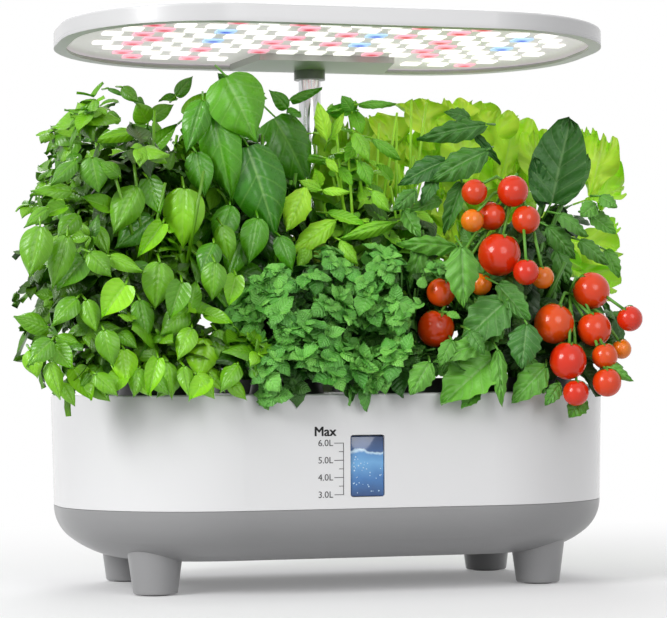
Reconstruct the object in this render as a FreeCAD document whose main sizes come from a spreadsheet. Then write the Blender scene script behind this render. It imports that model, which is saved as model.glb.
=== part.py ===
import FreeCAD, Part
import math
import os
import re
import Sketcher

# countertop hydroponic garden, millimetres, +Z up, front towards -Y
# origin: on the worktop, under the middle of the planter
doc = FreeCAD.newDocument("hydroponic_garden")
V = FreeCAD.Vector

DIMENSIONS = [
    # planter outline and heights
    ("tank_width", 400), ("tank_depth", 240), ("tank_end_flat", 8), ("rim_height", 137),
    ("seam_height", 59), ("tank_draft", 1.8), ("tank_wall", 2.5), ("deck_lip", 4),
    ("nest_gap", 0.3), ("run_gap", 0.4),
    # curved grey base shell: two tangent arcs from the seam to the flat bottom
    ("shell_wall", 2.5), ("shell_side_radius", 29), ("shell_belly_radius", 61.6), ("shell_turn", 50),
    ("tub_side_radius", 22), ("tub_belly_radius", 46),
    # feet, their screws and rubber pads
    ("foot_end_gap", 61.5), ("foot_side_gap", 60.6),
    ("foot_tip_radius", 15.3), ("foot_top_radius", 20.6), ("foot_cone_height", 40), ("foot_edge", 1.5),
    ("pad_radius", 10), ("pad_thick", 3), ("pad_proud", 0.8),
    ("screw_radius", 2), ("screw_head_radius", 4), ("screw_head_height", 3), ("screw_head_level", 12),
    ("screw_length", 16), ("boss_radius", 6), ("boss_height", 5.5),
    # water window in the front wall
    ("window_across", -3), ("window_width", 24), ("window_height", 42), ("window_level", 67),
    ("window_corner", 2), ("window_flange", 4), ("lens_thick", 2), ("gasket_thick", 1.2),
    ("window_pad", 3),
    # deck and its twelve pods
    ("deck_skirt", 8), ("skirt_wall", 2),
    ("pod_end_gap", 62), ("pod_side_gap", 56), ("pod_gap_x", 40), ("pod_gap_y", 12),
    ("collar_seat", 3), ("basket_play", 0.5), ("basket_taper", 5.5), ("basket_rise", 10),
    ("basket_depth", 56), ("basket_wall", 1.6), ("slot_width", 5), ("slot_height", 30), ("slot_level", 8),
    ("sponge_depth", 34),
    # refill port at the right end of the deck
    ("port_end_gap", 18), ("port_width", 22), ("port_length", 34), ("lid_margin", 3), ("lid_thick", 2.4),
    ("pin_radius", 1.2), ("lid_ear", 5), ("ear_thick", 3),
    # lamp pole
    ("pole_across", 12), ("pole_rear_gap", 23), ("pole_outer_radius", 10.5),
    ("pole_inner_radius", 8.5),
    ("pole_wall", 1.2), ("pole_outer_top", 290), ("pole_inner_bottom", 136), ("pole_foot_level", 124),
    ("bush_rise", 10), ("bush_wall", 1.8), ("base_width", 42), ("base_depth", 32),
    ("base_corner", 12), ("base_rise", 20), ("base_shift", 3), ("pole_room", 4),
    ("jack_across", 14), ("jack_radius", 4.5), ("jack_length", 12), ("jack_bore", 2.8),
    # lamp head
    ("lamp_gap", 12), ("lamp_width", 394), ("lamp_depth", 250), ("lamp_end_flat", 15),
    ("lamp_rear_reach", 18), ("lamp_thick", 12.5), ("lamp_wall", 2.2), ("bezel_width", 9), ("bezel_thick", 2),
    ("board_thick", 1.6), ("board_recess", 4), ("led_pitch_x", 21.7), ("led_pitch_y", 22.6),
    ("led_length", 13.6), ("led_width", 14), ("led_height", 1.2), ("led_margin", 17),
    ("cover_width", 122), ("cover_depth", 66), ("cover_taper", 9),
    ("collar_radius", 12), ("collar_height", 8), ("button_radius", 6), ("button_rise", 1.6),
    ("button_pitch", 26), ("button_gap", 13), ("button_travel", 1.2), ("button_flange", 1.4),
    ("switch_width", 8),
    ("driver_length", 84), ("driver_width", 30), ("driver_height", 3.2),
    # water pump hung under the deck
    ("pump_back", 0), ("pump_width", 38), ("pump_depth", 44), ("pump_height", 34),
    ("pump_level", 40), ("pump_wall", 2.5), ("rotor_radius", 9), ("rotor_length", 18), ("shaft_radius", 1.2),
    ("spout_radius", 4), ("spout_wall", 1), ("strap_width", 10), ("strap_thick", 2), ("strainer_thick", 6),
    ("strainer_slot", 2),
    # foliage: reach past the planter and heights above the deck
    ("leaf_reach_x", 32), ("leaf_reach_y", 30), ("cell_gap", 1.5),
    ("crown_rise", 8), ("stem_radius", 3.5), ("basil_height", 206),
    ("thai_height", 204), ("broad_height", 226), ("balm_height", 96), ("mint_height", 212),
    ("lettuce_height", 228), ("tomato_height", 196), ("cress_height", 190), ("fruit_gap", 0.3),
    ("vine_radius", 1.5),
]

dims = doc.addObject("Spreadsheet::Sheet", "dims")
for row, (alias, value) in enumerate(DIMENSIONS, 1):
    dims.set("A%d" % row, alias)
    dims.set("B%d" % row, str(value))
    dims.setAlias("B%d" % row, alias)
doc.recompute()

ALIASES = {alias for alias, value in DIMENSIONS}
WORD = re.compile(r"[a-z][a-z_]*")

# sizes and places that follow from the named ones
DERIVED = {
    "tank_corner": "tank_depth / 2 - tank_end_flat",
    "foot_across": "tank_width / 2 - foot_end_gap",
    "foot_back": "tank_depth / 2 - foot_side_gap",
    "pod_pitch_x": "(tank_width / 2 - pod_end_gap) / 1.5",
    "pod_pitch_y": "tank_depth / 2 - pod_side_gap",
    "basket_collar": "min(pod_pitch_x - pod_gap_x; pod_pitch_y - pod_gap_y)",
    "pod_hole": "basket_collar - 2 * collar_seat",
    "basket_top": "pod_hole - 2 * basket_play",
    "basket_tip": "basket_top - 2 * basket_taper",
    "port_across": "tank_width / 2 - port_end_gap",
    "pole_back": "tank_depth / 2 - pole_rear_gap",
    "lamp_corner": "lamp_depth / 2 - lamp_end_flat",
    "lamp_forward": "lamp_depth / 2 - pole_back - lamp_rear_reach",
    "button_back": "pole_back - button_gap",
    "pump_across": "pod_pitch_x",
    "foliage_x": "tank_width / 2 + leaf_reach_x",
    "foliage_y": "tank_depth / 2 + leaf_reach_y",
    "tallest": "max(broad_height; lettuce_height; mint_height; basil_height)",
    "lamp_under": "rim_height + basket_rise + tallest + lamp_gap - basket_wall",
}


def ref(text):
    """Turn size names into references to the sheet, writing out the ones that follow from others."""
    def swap(match):
        name = match.group()
        if name in DERIVED:
            return "(%s)" % ref(DERIVED[name])
        return "dims." + name if name in ALIASES else name
    return WORD.sub(swap, str(text))


def val(text):
    """The number that an expression of size names stands for."""
    return float(dims.evalExpression(ref(text)))


def bind(obj, **sizes):
    """Tie properties of an object to expressions of size names."""
    for prop, text in sizes.items():
        obj.setExpression(prop, ref(text))
    return obj


def place(obj, x="0", y="0", z="0"):
    """Tie an object's place to expressions of size names."""
    for axis, text in (("x", x), ("y", y), ("z", z)):
        obj.setExpression("Placement.Base." + axis, ref(text))
    return obj


PARTS = []


def named(obj, label):
    """Give a finished sub-part the label that names its file."""
    obj.Label = label
    PARTS.append(obj)
    return obj


# parametric sketches and bodies

def new_body(name):
    return doc.addObject("PartDesign::Body", name)


def origin_plane(body, role):
    return [f for f in body.Origin.OriginFeatures if f.Role == role][0]


def new_sketch(body, plane="XY_Plane", level="0"):
    """A sketch on one of the body's own planes, moved along the plane's normal."""
    sketch = body.newObject("Sketcher::SketchObject", "sketch")
    sketch.AttachmentSupport = [(origin_plane(body, plane), "")]
    sketch.MapMode = "FlatFace"
    sketch.setExpression("AttachmentOffset.Base.z", ref(level))
    return sketch


def pin(sketch, geo, pos, x, y):
    """Hold a point of a sketch at two bound distances from the sketch origin."""
    for kind, text in (("DistanceX", x), ("DistanceY", y)):
        index = sketch.addConstraint(Sketcher.Constraint(kind, -1, 1, geo, pos, val(text)))
        sketch.setExpression("Constraints[%d]" % index, ref(text))


def circle(sketch, x, y, radius):
    geo = sketch.addGeometry(Part.Circle(V(val(x), val(y), 0), V(0, 0, 1), val(radius)))
    pin(sketch, geo, 3, x, y)
    index = sketch.addConstraint(Sketcher.Constraint("Radius", geo, val(radius)))
    sketch.setExpression("Constraints[%d]" % index, ref(radius))


def arc_between(start, end, centre):
    """The shorter arc from start to end about centre, and whether it runs clockwise."""
    a0 = math.atan2(start.y - centre.y, start.x - centre.x)
    a1 = math.atan2(end.y - centre.y, end.x - centre.x)
    turn = (a1 - a0) % (2 * math.pi)
    clockwise = turn > math.pi
    low, high = (a1, a0) if clockwise else (a0, a1)
    about = Part.Circle(centre, V(0, 0, 1), (start - centre).Length)
    return Part.ArcOfCircle(about, low, low + (high - low) % (2 * math.pi)), clockwise


def outline(sketch, corners):
    """Closed outline through (x, y) corners; a corner (x, y, cx, cy) starts an arc about (cx, cy)."""
    points = [V(val(c[0]), val(c[1]), 0) for c in corners]
    ends = []
    for k, corner in enumerate(corners):
        start, end = points[k], points[(k + 1) % len(points)]
        if len(corner) == 2:
            geo = sketch.addGeometry(Part.LineSegment(start, end))
            ends.append((geo, 1, 2))
        else:
            curve, clockwise = arc_between(start, end, V(val(corner[2]), val(corner[3]), 0))
            geo = sketch.addGeometry(curve)
            ends.append((geo, 2, 1) if clockwise else (geo, 1, 2))
    for k, corner in enumerate(corners):
        geo, first, last = ends[k]
        follow, follow_first, _ = ends[(k + 1) % len(ends)]
        pin(sketch, geo, first, corner[0], corner[1])
        sketch.addConstraint(Sketcher.Constraint("Coincident", geo, last, follow, follow_first))
        if len(corner) == 4:
            index = sketch.addConstraint(
                Sketcher.Constraint("DistanceX", -1, 1, geo, 3, val(corner[2])))
            sketch.setExpression("Constraints[%d]" % index, ref(corner[2]))


def slab_corners(width, depth, corner, x="0", y="0"):
    """Corners of a rounded rectangle that starts at the middle of its front edge."""
    def at(sx, sy, in_x, in_y):
        px = "(%s) + %d * ((%s) / 2 - (%s))" % (x, sx, width, in_x)
        py = "(%s) + %d * ((%s) / 2 - (%s))" % (y, sy, depth, in_y)
        return px, py
    corners = [("(%s)" % x, "(%s) - (%s) / 2" % (y, depth))]
    for sx, sy in ((1, -1), (1, 1), (-1, 1), (-1, -1)):
        on_long = at(sx, sy, corner, "0")
        on_short = at(sx, sy, "0", corner)
        centre = at(sx, sy, corner, corner)
        first, second = (on_long, on_short) if sx * sy < 0 else (on_short, on_long)
        corners += [first + centre, second]
    return corners


def slab_outline(sketch, width, depth, corner, x="0", y="0"):
    outline(sketch, slab_corners(width, depth, corner, x, y))


def box_outline(sketch, x, y, width, depth):
    half_w, half_d = "(%s) / 2" % width, "(%s) / 2" % depth
    signs = ((-1, -1), (1, -1), (1, 1), (-1, 1))
    outline(sketch, [("(%s) + %d * %s" % (x, sx, half_w), "(%s) + %d * %s" % (y, sy, half_d))
                     for sx, sy in signs])


def pad(body, sketch, length):
    feature = body.newObject("PartDesign::Pad", "pad")
    feature.Profile = sketch
    bind(feature, Length=length)
    return feature


def pocket(body, sketch, length, up=False):
    """Cut from the sketch downwards, or upwards when up is true."""
    feature = body.newObject("PartDesign::Pocket", "pocket")
    feature.Profile = sketch
    feature.Reversed = up
    bind(feature, Length=length)
    return feature


def round_edges(body, base, radius, pick):
    """Fillet the edges of the last feature that pick chooses."""
    doc.recompute()
    names = ["Edge%d" % (k + 1) for k, edge in enumerate(base.Shape.Edges) if pick(edge)]
    feature = body.newObject("PartDesign::Fillet", "round")
    feature.Base = (base, names)
    bind(feature, Radius=radius)
    return feature


def at_level(z, tolerance=0.01):
    """A test for edges that lie flat at one height."""
    return lambda edge: abs(edge.BoundBox.ZMin - z) < tolerance and abs(edge.BoundBox.ZMax - z) < tolerance


# planter: a white tub nested in a grey base shell

def arc_drop(side, belly):
    """Inward and downward reach of a wall's two tangent arcs, and of the first one alone."""
    turn = "shell_turn * 1deg"
    first_in = "(%s) * (1 - cos(%s))" % (side, turn)
    first_down = "(%s) * sin(%s)" % (side, turn)
    full_in = "(%s) + (%s) * cos(%s)" % (first_in, belly, turn)
    full_down = "(%s) + (%s) * (1 - sin(%s))" % (first_down, belly, turn)
    return first_in, first_down, full_in, full_down


def belly_corners(inset, level, side, belly, y_sign=1):
    """Points of a wall face that curves from upright at level down to flat."""
    first_in, first_down, full_in, full_down = arc_drop(side, belly)
    front = "-(tank_depth / 2 - tank_draft) + (%s)" % inset
    start = ("%s" % front, level, "%s + (%s)" % (front, side), level)
    joint = ("%s + %s" % (front, first_in), "(%s) - %s" % (level, first_down),
             "%s + %s" % (front, full_in), "(%s) - (%s) + (%s)" % (level, full_down, belly))
    flat = ("%s + %s" % (front, full_in), "(%s) - (%s)" % (level, full_down))
    return start, joint, flat


def reversed_arcs(start, joint, flat):
    """The same curve walked from the flat end up to the upright end."""
    return [flat + joint[2:], joint[:2] + start[2:], start[:2]]


def swept_wall(body, profile_corners):
    """Carry a wall section round the planter's outline."""
    spine = new_sketch(body)
    slab_outline(spine, "tank_width", "tank_depth", "tank_corner")
    profile = new_sketch(body, "YZ_Plane")
    outline(profile, profile_corners)
    sweep = body.newObject("PartDesign::AdditivePipe", "wall")
    sweep.Profile = profile
    sweep.Spine = spine
    return sweep


FLOOR_INSET = "tank_draft + 52"


def floor_pad(body, level, thick):
    """The flat bottom inside the curved wall."""
    floor = new_sketch(body, "XY_Plane", level)
    slab_outline(floor, "tank_width - 2 * (%s)" % FLOOR_INSET, "tank_depth - 2 * (%s)" % FLOOR_INSET,
                 "tank_corner - (%s)" % FLOOR_INSET)
    return pad(body, floor, thick)


SHELL_FULL_IN, SHELL_FULL_DOWN = arc_drop("shell_side_radius", "shell_belly_radius")[2:]
SHELL_BOTTOM = "seam_height - (%s)" % SHELL_FULL_DOWN
TUB_DOWN = arc_drop("tub_side_radius", "tub_belly_radius")[3]
TUB_BOTTOM = "seam_height - (%s)" % TUB_DOWN
TUB_INSET = "shell_wall + nest_gap"
FLOOR_EDGE = "-(tank_depth / 2) + %s + 2" % FLOOR_INSET
TUB_TOP = "rim_height - deck_lip"
WINDOW_MIDDLE = "window_level + window_height / 2"
WALL_FRONT = "-(tank_depth / 2 - tank_draft)"


def tank():
    body = new_body("tank")
    outer = belly_corners(TUB_INSET, "seam_height", "tub_side_radius", "tub_belly_radius")
    inner = belly_corners(TUB_INSET + " + tank_wall", "seam_height", "tub_side_radius - tank_wall",
                          "tub_belly_radius - tank_wall")
    top_front = "-(tank_depth / 2)"
    corners = [(top_front, TUB_TOP), (WALL_FRONT, "seam_height + nest_gap")]
    corners += [("%s + %s" % (WALL_FRONT, TUB_INSET), "seam_height + nest_gap")]
    corners += list(outer) + [(FLOOR_EDGE, TUB_BOTTOM), (FLOOR_EDGE, TUB_BOTTOM + " + tank_wall")]
    corners += reversed_arcs(*inner)
    corners += [(inner[0][0], "seam_height + nest_gap + tank_wall"),
                ("%s + tank_wall" % WALL_FRONT, "seam_height + nest_gap + tank_wall + tank_wall"),
                ("%s + tank_wall" % top_front, TUB_TOP)]
    swept_wall(body, corners)
    floor_pad(body, TUB_BOTTOM, "tank_wall")
    # flat pad behind the window, then the opening through both
    frame = new_sketch(body, "XZ_Plane", "tank_depth / 2 - tank_draft - tank_wall + 0.5")
    box_outline(frame, "window_across", WINDOW_MIDDLE, "window_width + 2 * window_flange + 6",
                "window_height + 2 * window_flange + 6")
    frame_pad = pad(body, frame, "window_pad + 0.5")
    frame_pad.Reversed = True
    hole = new_sketch(body, "XZ_Plane", "tank_depth / 2 + 1")
    slab_outline(hole, "window_width", "window_height", "window_corner", "window_across", WINDOW_MIDDLE)
    pocket(body, hole, "tank_draft + tank_wall + window_pad + 3")
    return named(body, "tank")


def base_shell():
    body = new_body("base_shell")
    outer = belly_corners("0", "seam_height", "shell_side_radius", "shell_belly_radius")
    inner = belly_corners("shell_wall", "seam_height", "shell_side_radius - shell_wall",
                          "shell_belly_radius - shell_wall")
    corners = list(outer) + [(FLOOR_EDGE, SHELL_BOTTOM), (FLOOR_EDGE, SHELL_BOTTOM + " + shell_wall")]
    corners += reversed_arcs(*inner)
    swept_wall(body, corners)
    floor_pad(body, SHELL_BOTTOM, "shell_wall")
    bosses = new_sketch(body, "XY_Plane", SHELL_BOTTOM + " + shell_wall")
    for sx, sy in FOOT_SIGNS:
        circle(bosses, "%d * foot_across" % sx, "%d * foot_back" % sy, "boss_radius")
    pad(body, bosses, "boss_height")
    bores = new_sketch(body, "XY_Plane", SHELL_BOTTOM + " - 5")
    for sx, sy in FOOT_SIGNS:
        circle(bores, "%d * foot_across" % sx, "%d * foot_back" % sy, "screw_radius")
    pocket(body, bores, "shell_wall + boss_height + 4", up=True)
    return named(body, "base_shell")


def base_form():
    """The base shell's outer form as one filled solid, used to shape the tops of the feet."""
    body = new_body("base_form")
    outer = belly_corners("0", "seam_height", "shell_side_radius", "shell_belly_radius")
    corners = list(outer) + [(FLOOR_EDGE, SHELL_BOTTOM), (FLOOR_EDGE, "seam_height")]
    swept_wall(body, corners)
    floor_pad(body, SHELL_BOTTOM, "seam_height - (%s)" % SHELL_BOTTOM)
    return body


FOOT_SIGNS = ((-1, -1), (1, -1), (1, 1), (-1, 1))
FOOT_NAMES = ("foot_front_left", "foot_front_right", "foot_rear_right", "foot_rear_left")


def cylinder(name, radius, height, x="0", y="0", z="0"):
    obj = doc.addObject("Part::Cylinder", name)
    bind(obj, Radius=radius, Height=height)
    return place(obj, x, y, z)


def boxed(name, length, width, height, x, y, z):
    """A block centred on x and y that stands on z."""
    obj = doc.addObject("Part::Box", name)
    bind(obj, Length=length, Width=width, Height=height)
    return place(obj, "(%s) - (%s) / 2" % (x, length), "(%s) - (%s) / 2" % (y, width), z)


def fused(name, shapes):
    obj = doc.addObject("Part::MultiFuse", name)
    obj.Shapes = shapes
    return obj


def cut_from(name, base, tool):
    obj = doc.addObject("Part::Cut", name)
    obj.Base = base
    obj.Tool = tool
    return obj


def foot(label, sx, sy, form):
    """A tapered foot, its top shaped to the shell and its sole bored for the screw and pad."""
    x, y = "%d * foot_across" % sx, "%d * foot_back" % sy
    cone = doc.addObject("Part::Cone", label + "_cone")
    bind(cone, Radius1="foot_tip_radius", Radius2="foot_top_radius", Height="foot_cone_height - pad_proud")
    place(cone, x, y, "pad_proud")
    doc.recompute()
    rounded = doc.addObject("Part::Fillet", label + "_round")
    rounded.Base = cone
    sole = [k + 1 for k, edge in enumerate(cone.Shape.Edges) if at_level(val("pad_proud"))(edge)]
    rounded.Edges = [(sole[0], val("foot_edge"), val("foot_edge"))]
    seat = cylinder(label + "_seat", "pad_radius + nest_gap", "pad_thick - pad_proud", x, y, "pad_proud")
    well = cylinder(label + "_well", "screw_head_radius + nest_gap", "screw_head_level", x, y, "0")
    bore = cylinder(label + "_bore", "screw_radius + nest_gap", "foot_cone_height", x, y, "0")
    tools = fused(label + "_cuts", [seat, well, bore, form])
    return named(cut_from(label, rounded, tools), label)


def foot_group(label, make):
    """One like piece at each foot, kept as a group of separate solids."""
    pieces = [make("%s_%d" % (label, k), "%d * foot_across" % sx, "%d * foot_back" % sy)
              for k, (sx, sy) in enumerate(FOOT_SIGNS)]
    return compound(label, pieces)


def compound(label, pieces):
    group = doc.addObject("Part::Compound", label)
    group.Links = pieces
    return named(group, label)


def foot_pad(name, x, y):
    return cylinder(name, "pad_radius", "pad_thick", x, y, "0")


def foot_screw(name, x, y):
    """A countersunk post: head in the foot's well, shank up into the shell's boss."""
    head = cylinder(name + "_head", "screw_head_radius", "screw_head_height", x, y,
                    "screw_head_level - screw_head_height")
    shank = cylinder(name + "_shank", "screw_radius", "screw_length + screw_head_height", x, y,
                     "screw_head_level - screw_head_height")
    return fused(name, [head, shank])


def window_parts():
    """A stepped clear lens pressed against a flat gasket inside the wall."""
    body = new_body("window_lens")
    pad_face = "tank_depth / 2 - tank_draft - tank_wall - window_pad"
    front = new_sketch(body, "XZ_Plane", "%s - gasket_thick" % pad_face)
    slab_outline(front, "window_width - 2 * nest_gap", "window_height - 2 * nest_gap",
                 "window_corner", "window_across", WINDOW_MIDDLE)
    pad(body, front, "gasket_thick + window_pad + tank_wall - run_gap")
    flange = new_sketch(body, "XZ_Plane", "%s - gasket_thick - lens_thick" % pad_face)
    slab_outline(flange, "window_width + 2 * window_flange", "window_height + 2 * window_flange",
                 "window_corner + window_flange", "window_across", WINDOW_MIDDLE)
    pad(body, flange, "lens_thick")
    named(body, "window_lens")
    ring = new_body("window_gasket")
    face = new_sketch(ring, "XZ_Plane", "%s - gasket_thick" % pad_face)
    slab_outline(face, "window_width + 2 * window_flange", "window_height + 2 * window_flange",
                 "window_corner + window_flange", "window_across", WINDOW_MIDDLE)
    slab_outline(face, "window_width", "window_height", "window_corner", "window_across", WINDOW_MIDDLE)
    pad(ring, face, "gasket_thick")
    named(ring, "window_gasket")


# deck, pods and refill port

POD_COLUMNS = (-1.5, -0.5, 0.5, 1.5)
POD_ROWS = (-1, 0, 1)
PODS = [(column, row) for row in POD_ROWS for column in POD_COLUMNS]


def pod_place(column, row):
    return "%s * pod_pitch_x" % column, "%s * pod_pitch_y" % row


def grow_deck():
    """Lid of the planter: a lipped plate with a locating skirt and its holes."""
    body = new_body("grow_deck")
    plate = new_sketch(body, "XY_Plane", TUB_TOP)
    slab_outline(plate, "tank_width", "tank_depth", "tank_corner")
    base = pad(body, plate, "deck_lip")
    round_edges(body, base, "deck_lip / 3", at_level(val("rim_height")))
    skirt = new_sketch(body, "XY_Plane", "%s - deck_skirt" % TUB_TOP)
    inset = "2 * (tank_wall + run_gap + tank_draft)"
    slab_outline(skirt, "tank_width - %s" % inset, "tank_depth - %s" % inset,
                 "tank_corner - (%s) / 2" % inset)
    inner = inset + " + 2 * skirt_wall"
    slab_outline(skirt, "tank_width - (%s)" % inner, "tank_depth - (%s)" % inner,
                 "tank_corner - (%s) / 2" % inner)
    pad(body, skirt, "deck_skirt + deck_lip / 2")
    holes = new_sketch(body, "XY_Plane", "rim_height + 1")
    for column, row in PODS:
        circle(holes, *pod_place(column, row), "pod_hole / 2")
    circle(holes, "pole_across", "pole_back", "pole_outer_radius")
    box_outline(holes, "port_across", "0", "port_width", "port_length")
    circle(holes, "pump_across", "pump_back + pump_depth / 4", "spout_radius")
    pocket(body, holes, "deck_lip + 2")
    # two ears beside the port carry the lid's pin
    ears = new_sketch(body, "XY_Plane", "rim_height - 1")
    for side in (-1, 1):
        middle = "%d * (port_length / 2 + lid_margin + run_gap + ear_thick / 2)" % side
        box_outline(ears, LID_HINGE_X, middle, "lid_ear", "ear_thick")
    pad(body, ears, "1 + lid_ear")
    bore = new_sketch(body, "XZ_Plane", "-port_length")
    circle(bore, LID_HINGE_X, LID_HINGE_Z, "pin_radius")
    pocket(body, bore, "2 * port_length", up=True)
    return named(body, "grow_deck")


LID_HINGE_X = "port_across + port_width / 2 + lid_margin"
LID_HINGE_Z = "rim_height + lid_ear / 2 + nest_gap"


def refill_lid():
    """Flap over the refill port, with a barrel round its pin at the outer edge."""
    top = boxed("lid_plate", "port_width + 2 * lid_margin", "port_length + 2 * lid_margin", "lid_thick",
                "port_across", "0", "rim_height")
    plug = boxed("lid_plug", "port_width - 2 * run_gap - 2", "port_length - 2 * run_gap", "deck_lip",
                 "port_across + 1", "0", "rim_height - deck_lip + 0.5")
    hollow = boxed("lid_hollow", "port_width - 8", "port_length - 6", "deck_lip", "port_across + 1", "0",
                   "rim_height - deck_lip - 0.5")
    barrel = doc.addObject("Part::Cylinder", "lid_barrel")
    bind(barrel, Radius="lid_ear / 2", Height="port_length + 2 * lid_margin")
    barrel.Placement.Rotation = FreeCAD.Rotation(V(1, 0, 0), -90)
    place(barrel, LID_HINGE_X, "-(port_length / 2 + lid_margin)", LID_HINGE_Z)
    eye = doc.addObject("Part::Cylinder", "lid_eye")
    bind(eye, Radius="pin_radius + nest_gap", Height="2 * port_length")
    eye.Placement.Rotation = FreeCAD.Rotation(V(1, 0, 0), -90)
    place(eye, LID_HINGE_X, "-port_length", LID_HINGE_Z)
    solid = fused("lid_solid", [top, plug, barrel])
    named(cut_from("refill_lid", solid, fused("lid_cuts", [hollow, eye])), "refill_lid")
    pin_rod = doc.addObject("Part::Cylinder", "refill_pin")
    bind(pin_rod, Radius="pin_radius", Height="port_length + 2 * (lid_margin + run_gap + ear_thick)")
    pin_rod.Placement.Rotation = FreeCAD.Rotation(V(1, 0, 0), -90)
    place(pin_rod, LID_HINGE_X, "-(port_length / 2 + lid_margin + run_gap + ear_thick)", LID_HINGE_Z)
    named(pin_rod, "refill_pin")


def cone(name, low, high, height, x, y, z):
    obj = doc.addObject("Part::Cone", name)
    bind(obj, Radius1=low, Radius2=high, Height=height)
    return place(obj, x, y, z)


def basket(name, x, y):
    """A slotted net cup with a raised collar that rests on the deck."""
    tip_level = "rim_height - basket_depth"
    cup = cone(name + "_cup", "basket_tip / 2", "basket_top / 2", "basket_depth", x, y, tip_level)
    collar = cone(name + "_collar", "basket_collar / 2", "basket_top / 2 + basket_wall", "basket_rise", x, y,
                  "rim_height")
    hollow = cone(name + "_hollow", "basket_tip / 2 - basket_wall", "basket_top / 2 - basket_wall",
                  "basket_depth + basket_rise", x, y, tip_level + " + basket_wall")
    tools = [hollow]
    for turn in (0, 60, 120):
        slot = boxed("%s_slot_%d" % (name, turn), "slot_width", "basket_collar", "slot_height",
                     "0", "0", "0")
        bar = doc.addObject("Part::Compound", "%s_bar_%d" % (name, turn))
        bar.Links = [slot]
        bar.Placement.Rotation = FreeCAD.Rotation(V(0, 0, 1), turn)
        place(bar, x, y, tip_level + " + slot_level")
        tools.append(bar)
    return cut_from(name, fused(name + "_solid", [cup, collar]), fused(name + "_cuts", tools))


def sponge(name, x, y):
    """The tapered growing plug that fills the top of a basket."""
    top_radius = "basket_top / 2 - basket_wall - run_gap"
    taper = "(basket_top - basket_tip) / 2 / (basket_depth + basket_rise) * sponge_depth"
    return cone(name, "%s - %s" % (top_radius, taper), top_radius, "sponge_depth", x, y,
                "rim_height + basket_rise - basket_wall - sponge_depth")


# lamp pole and its base

def tube(name, outer, inner, height, x, y, z):
    wall = cylinder(name + "_wall", outer, height, x, y, z)
    bore = cylinder(name + "_bore", inner, "(%s) + 2" % height, x, y, "(%s) - 1" % z)
    return cut_from(name, wall, bore)


INNER_TOP = "lamp_under + board_recess"


def pole_parts():
    x, y = "pole_across", "pole_back"
    body = new_body("pole_base")
    block = new_sketch(body, "XY_Plane", "rim_height")
    slab_outline(block, "base_width", "base_depth", "base_corner", x, "pole_back + base_shift")
    base = pad(body, block, "base_rise")
    round_edges(body, base, "base_rise / 5", at_level(val("rim_height + base_rise")))
    bore = new_sketch(body, "XY_Plane", "rim_height + base_rise + 1")
    circle(bore, x, y, "pole_outer_radius")
    pocket(body, bore, "base_rise + 2")
    socket = new_sketch(body, "XZ_Plane", "-(%s + 1)" % BASE_REAR)
    circle(socket, "pole_across + jack_across", JACK_Z, "jack_radius")
    cut = pocket(body, socket, "jack_length + 1")
    cut.Reversed = True
    named(body, "pole_base")
    named(tube("pole_outer", "pole_outer_radius", "pole_outer_radius - pole_wall",
               "pole_outer_top - pole_foot_level", x, y, "pole_foot_level"), "pole_outer")
    sleeve = tube("bush_sleeve", "pole_outer_radius - pole_wall", "pole_inner_radius + nest_gap", "bush_rise",
                  x, y, "pole_outer_top - bush_rise")
    cap = tube("bush_cap", "pole_outer_radius + bush_wall", "pole_inner_radius + nest_gap", "bush_rise / 2",
               x, y, "pole_outer_top")
    named(fused("pole_bush", [sleeve, cap]), "pole_bush")
    named(tube("pole_inner", "pole_inner_radius", "pole_inner_radius - pole_wall",
               "%s - pole_inner_bottom" % INNER_TOP, x, y, "pole_inner_bottom"), "pole_inner")
    jack()


JACK_Z = "rim_height + base_rise / 2"
BASE_REAR = "pole_back + base_shift + base_depth / 2"


def jack():
    """Round power inlet in the rear face of the pole base."""
    barrel = doc.addObject("Part::Cylinder", "jack_barrel")
    bore = doc.addObject("Part::Cylinder", "jack_bore_tool")
    tip = doc.addObject("Part::Cylinder", "jack_tip")
    bind(barrel, Radius="jack_radius", Height="jack_length")
    bind(bore, Radius="jack_bore", Height="jack_length")
    bind(tip, Radius="jack_bore / 3", Height="jack_length - 1.5")
    for piece, back in ((barrel, "0"), (bore, "2"), (tip, "1.5")):
        piece.Placement.Rotation = FreeCAD.Rotation(V(1, 0, 0), -90)
        start = "%s - jack_length + %s" % (BASE_REAR, back)
        place(piece, "pole_across + jack_across", start, JACK_Z)
    shell = cut_from("jack_shell", barrel, bore)
    named(fused("power_jack", [shell, tip]), "power_jack")


# lamp head

def lamp_slab(body, level, shrink, thick, holes=()):
    """Pad a rounded slab in line with the lamp's outline, inset by shrink."""
    sketch = new_sketch(body, "XY_Plane", level)
    slab_outline(sketch, "lamp_width - 2 * (%s)" % shrink, "lamp_depth - 2 * (%s)" % shrink,
                 "lamp_corner - (%s)" % shrink, "0", "-lamp_forward")
    for inner in holes:
        slab_outline(sketch, "lamp_width - 2 * (%s)" % inner, "lamp_depth - 2 * (%s)" % inner,
                     "lamp_corner - (%s)" % inner, "0", "-lamp_forward")
    return pad(body, sketch, thick)


LAMP_TOP = "lamp_under + lamp_thick"
LAMP_REAR = "lamp_depth / 2 - lamp_forward"
BUTTON_SIDES = (-1, 1)


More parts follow.
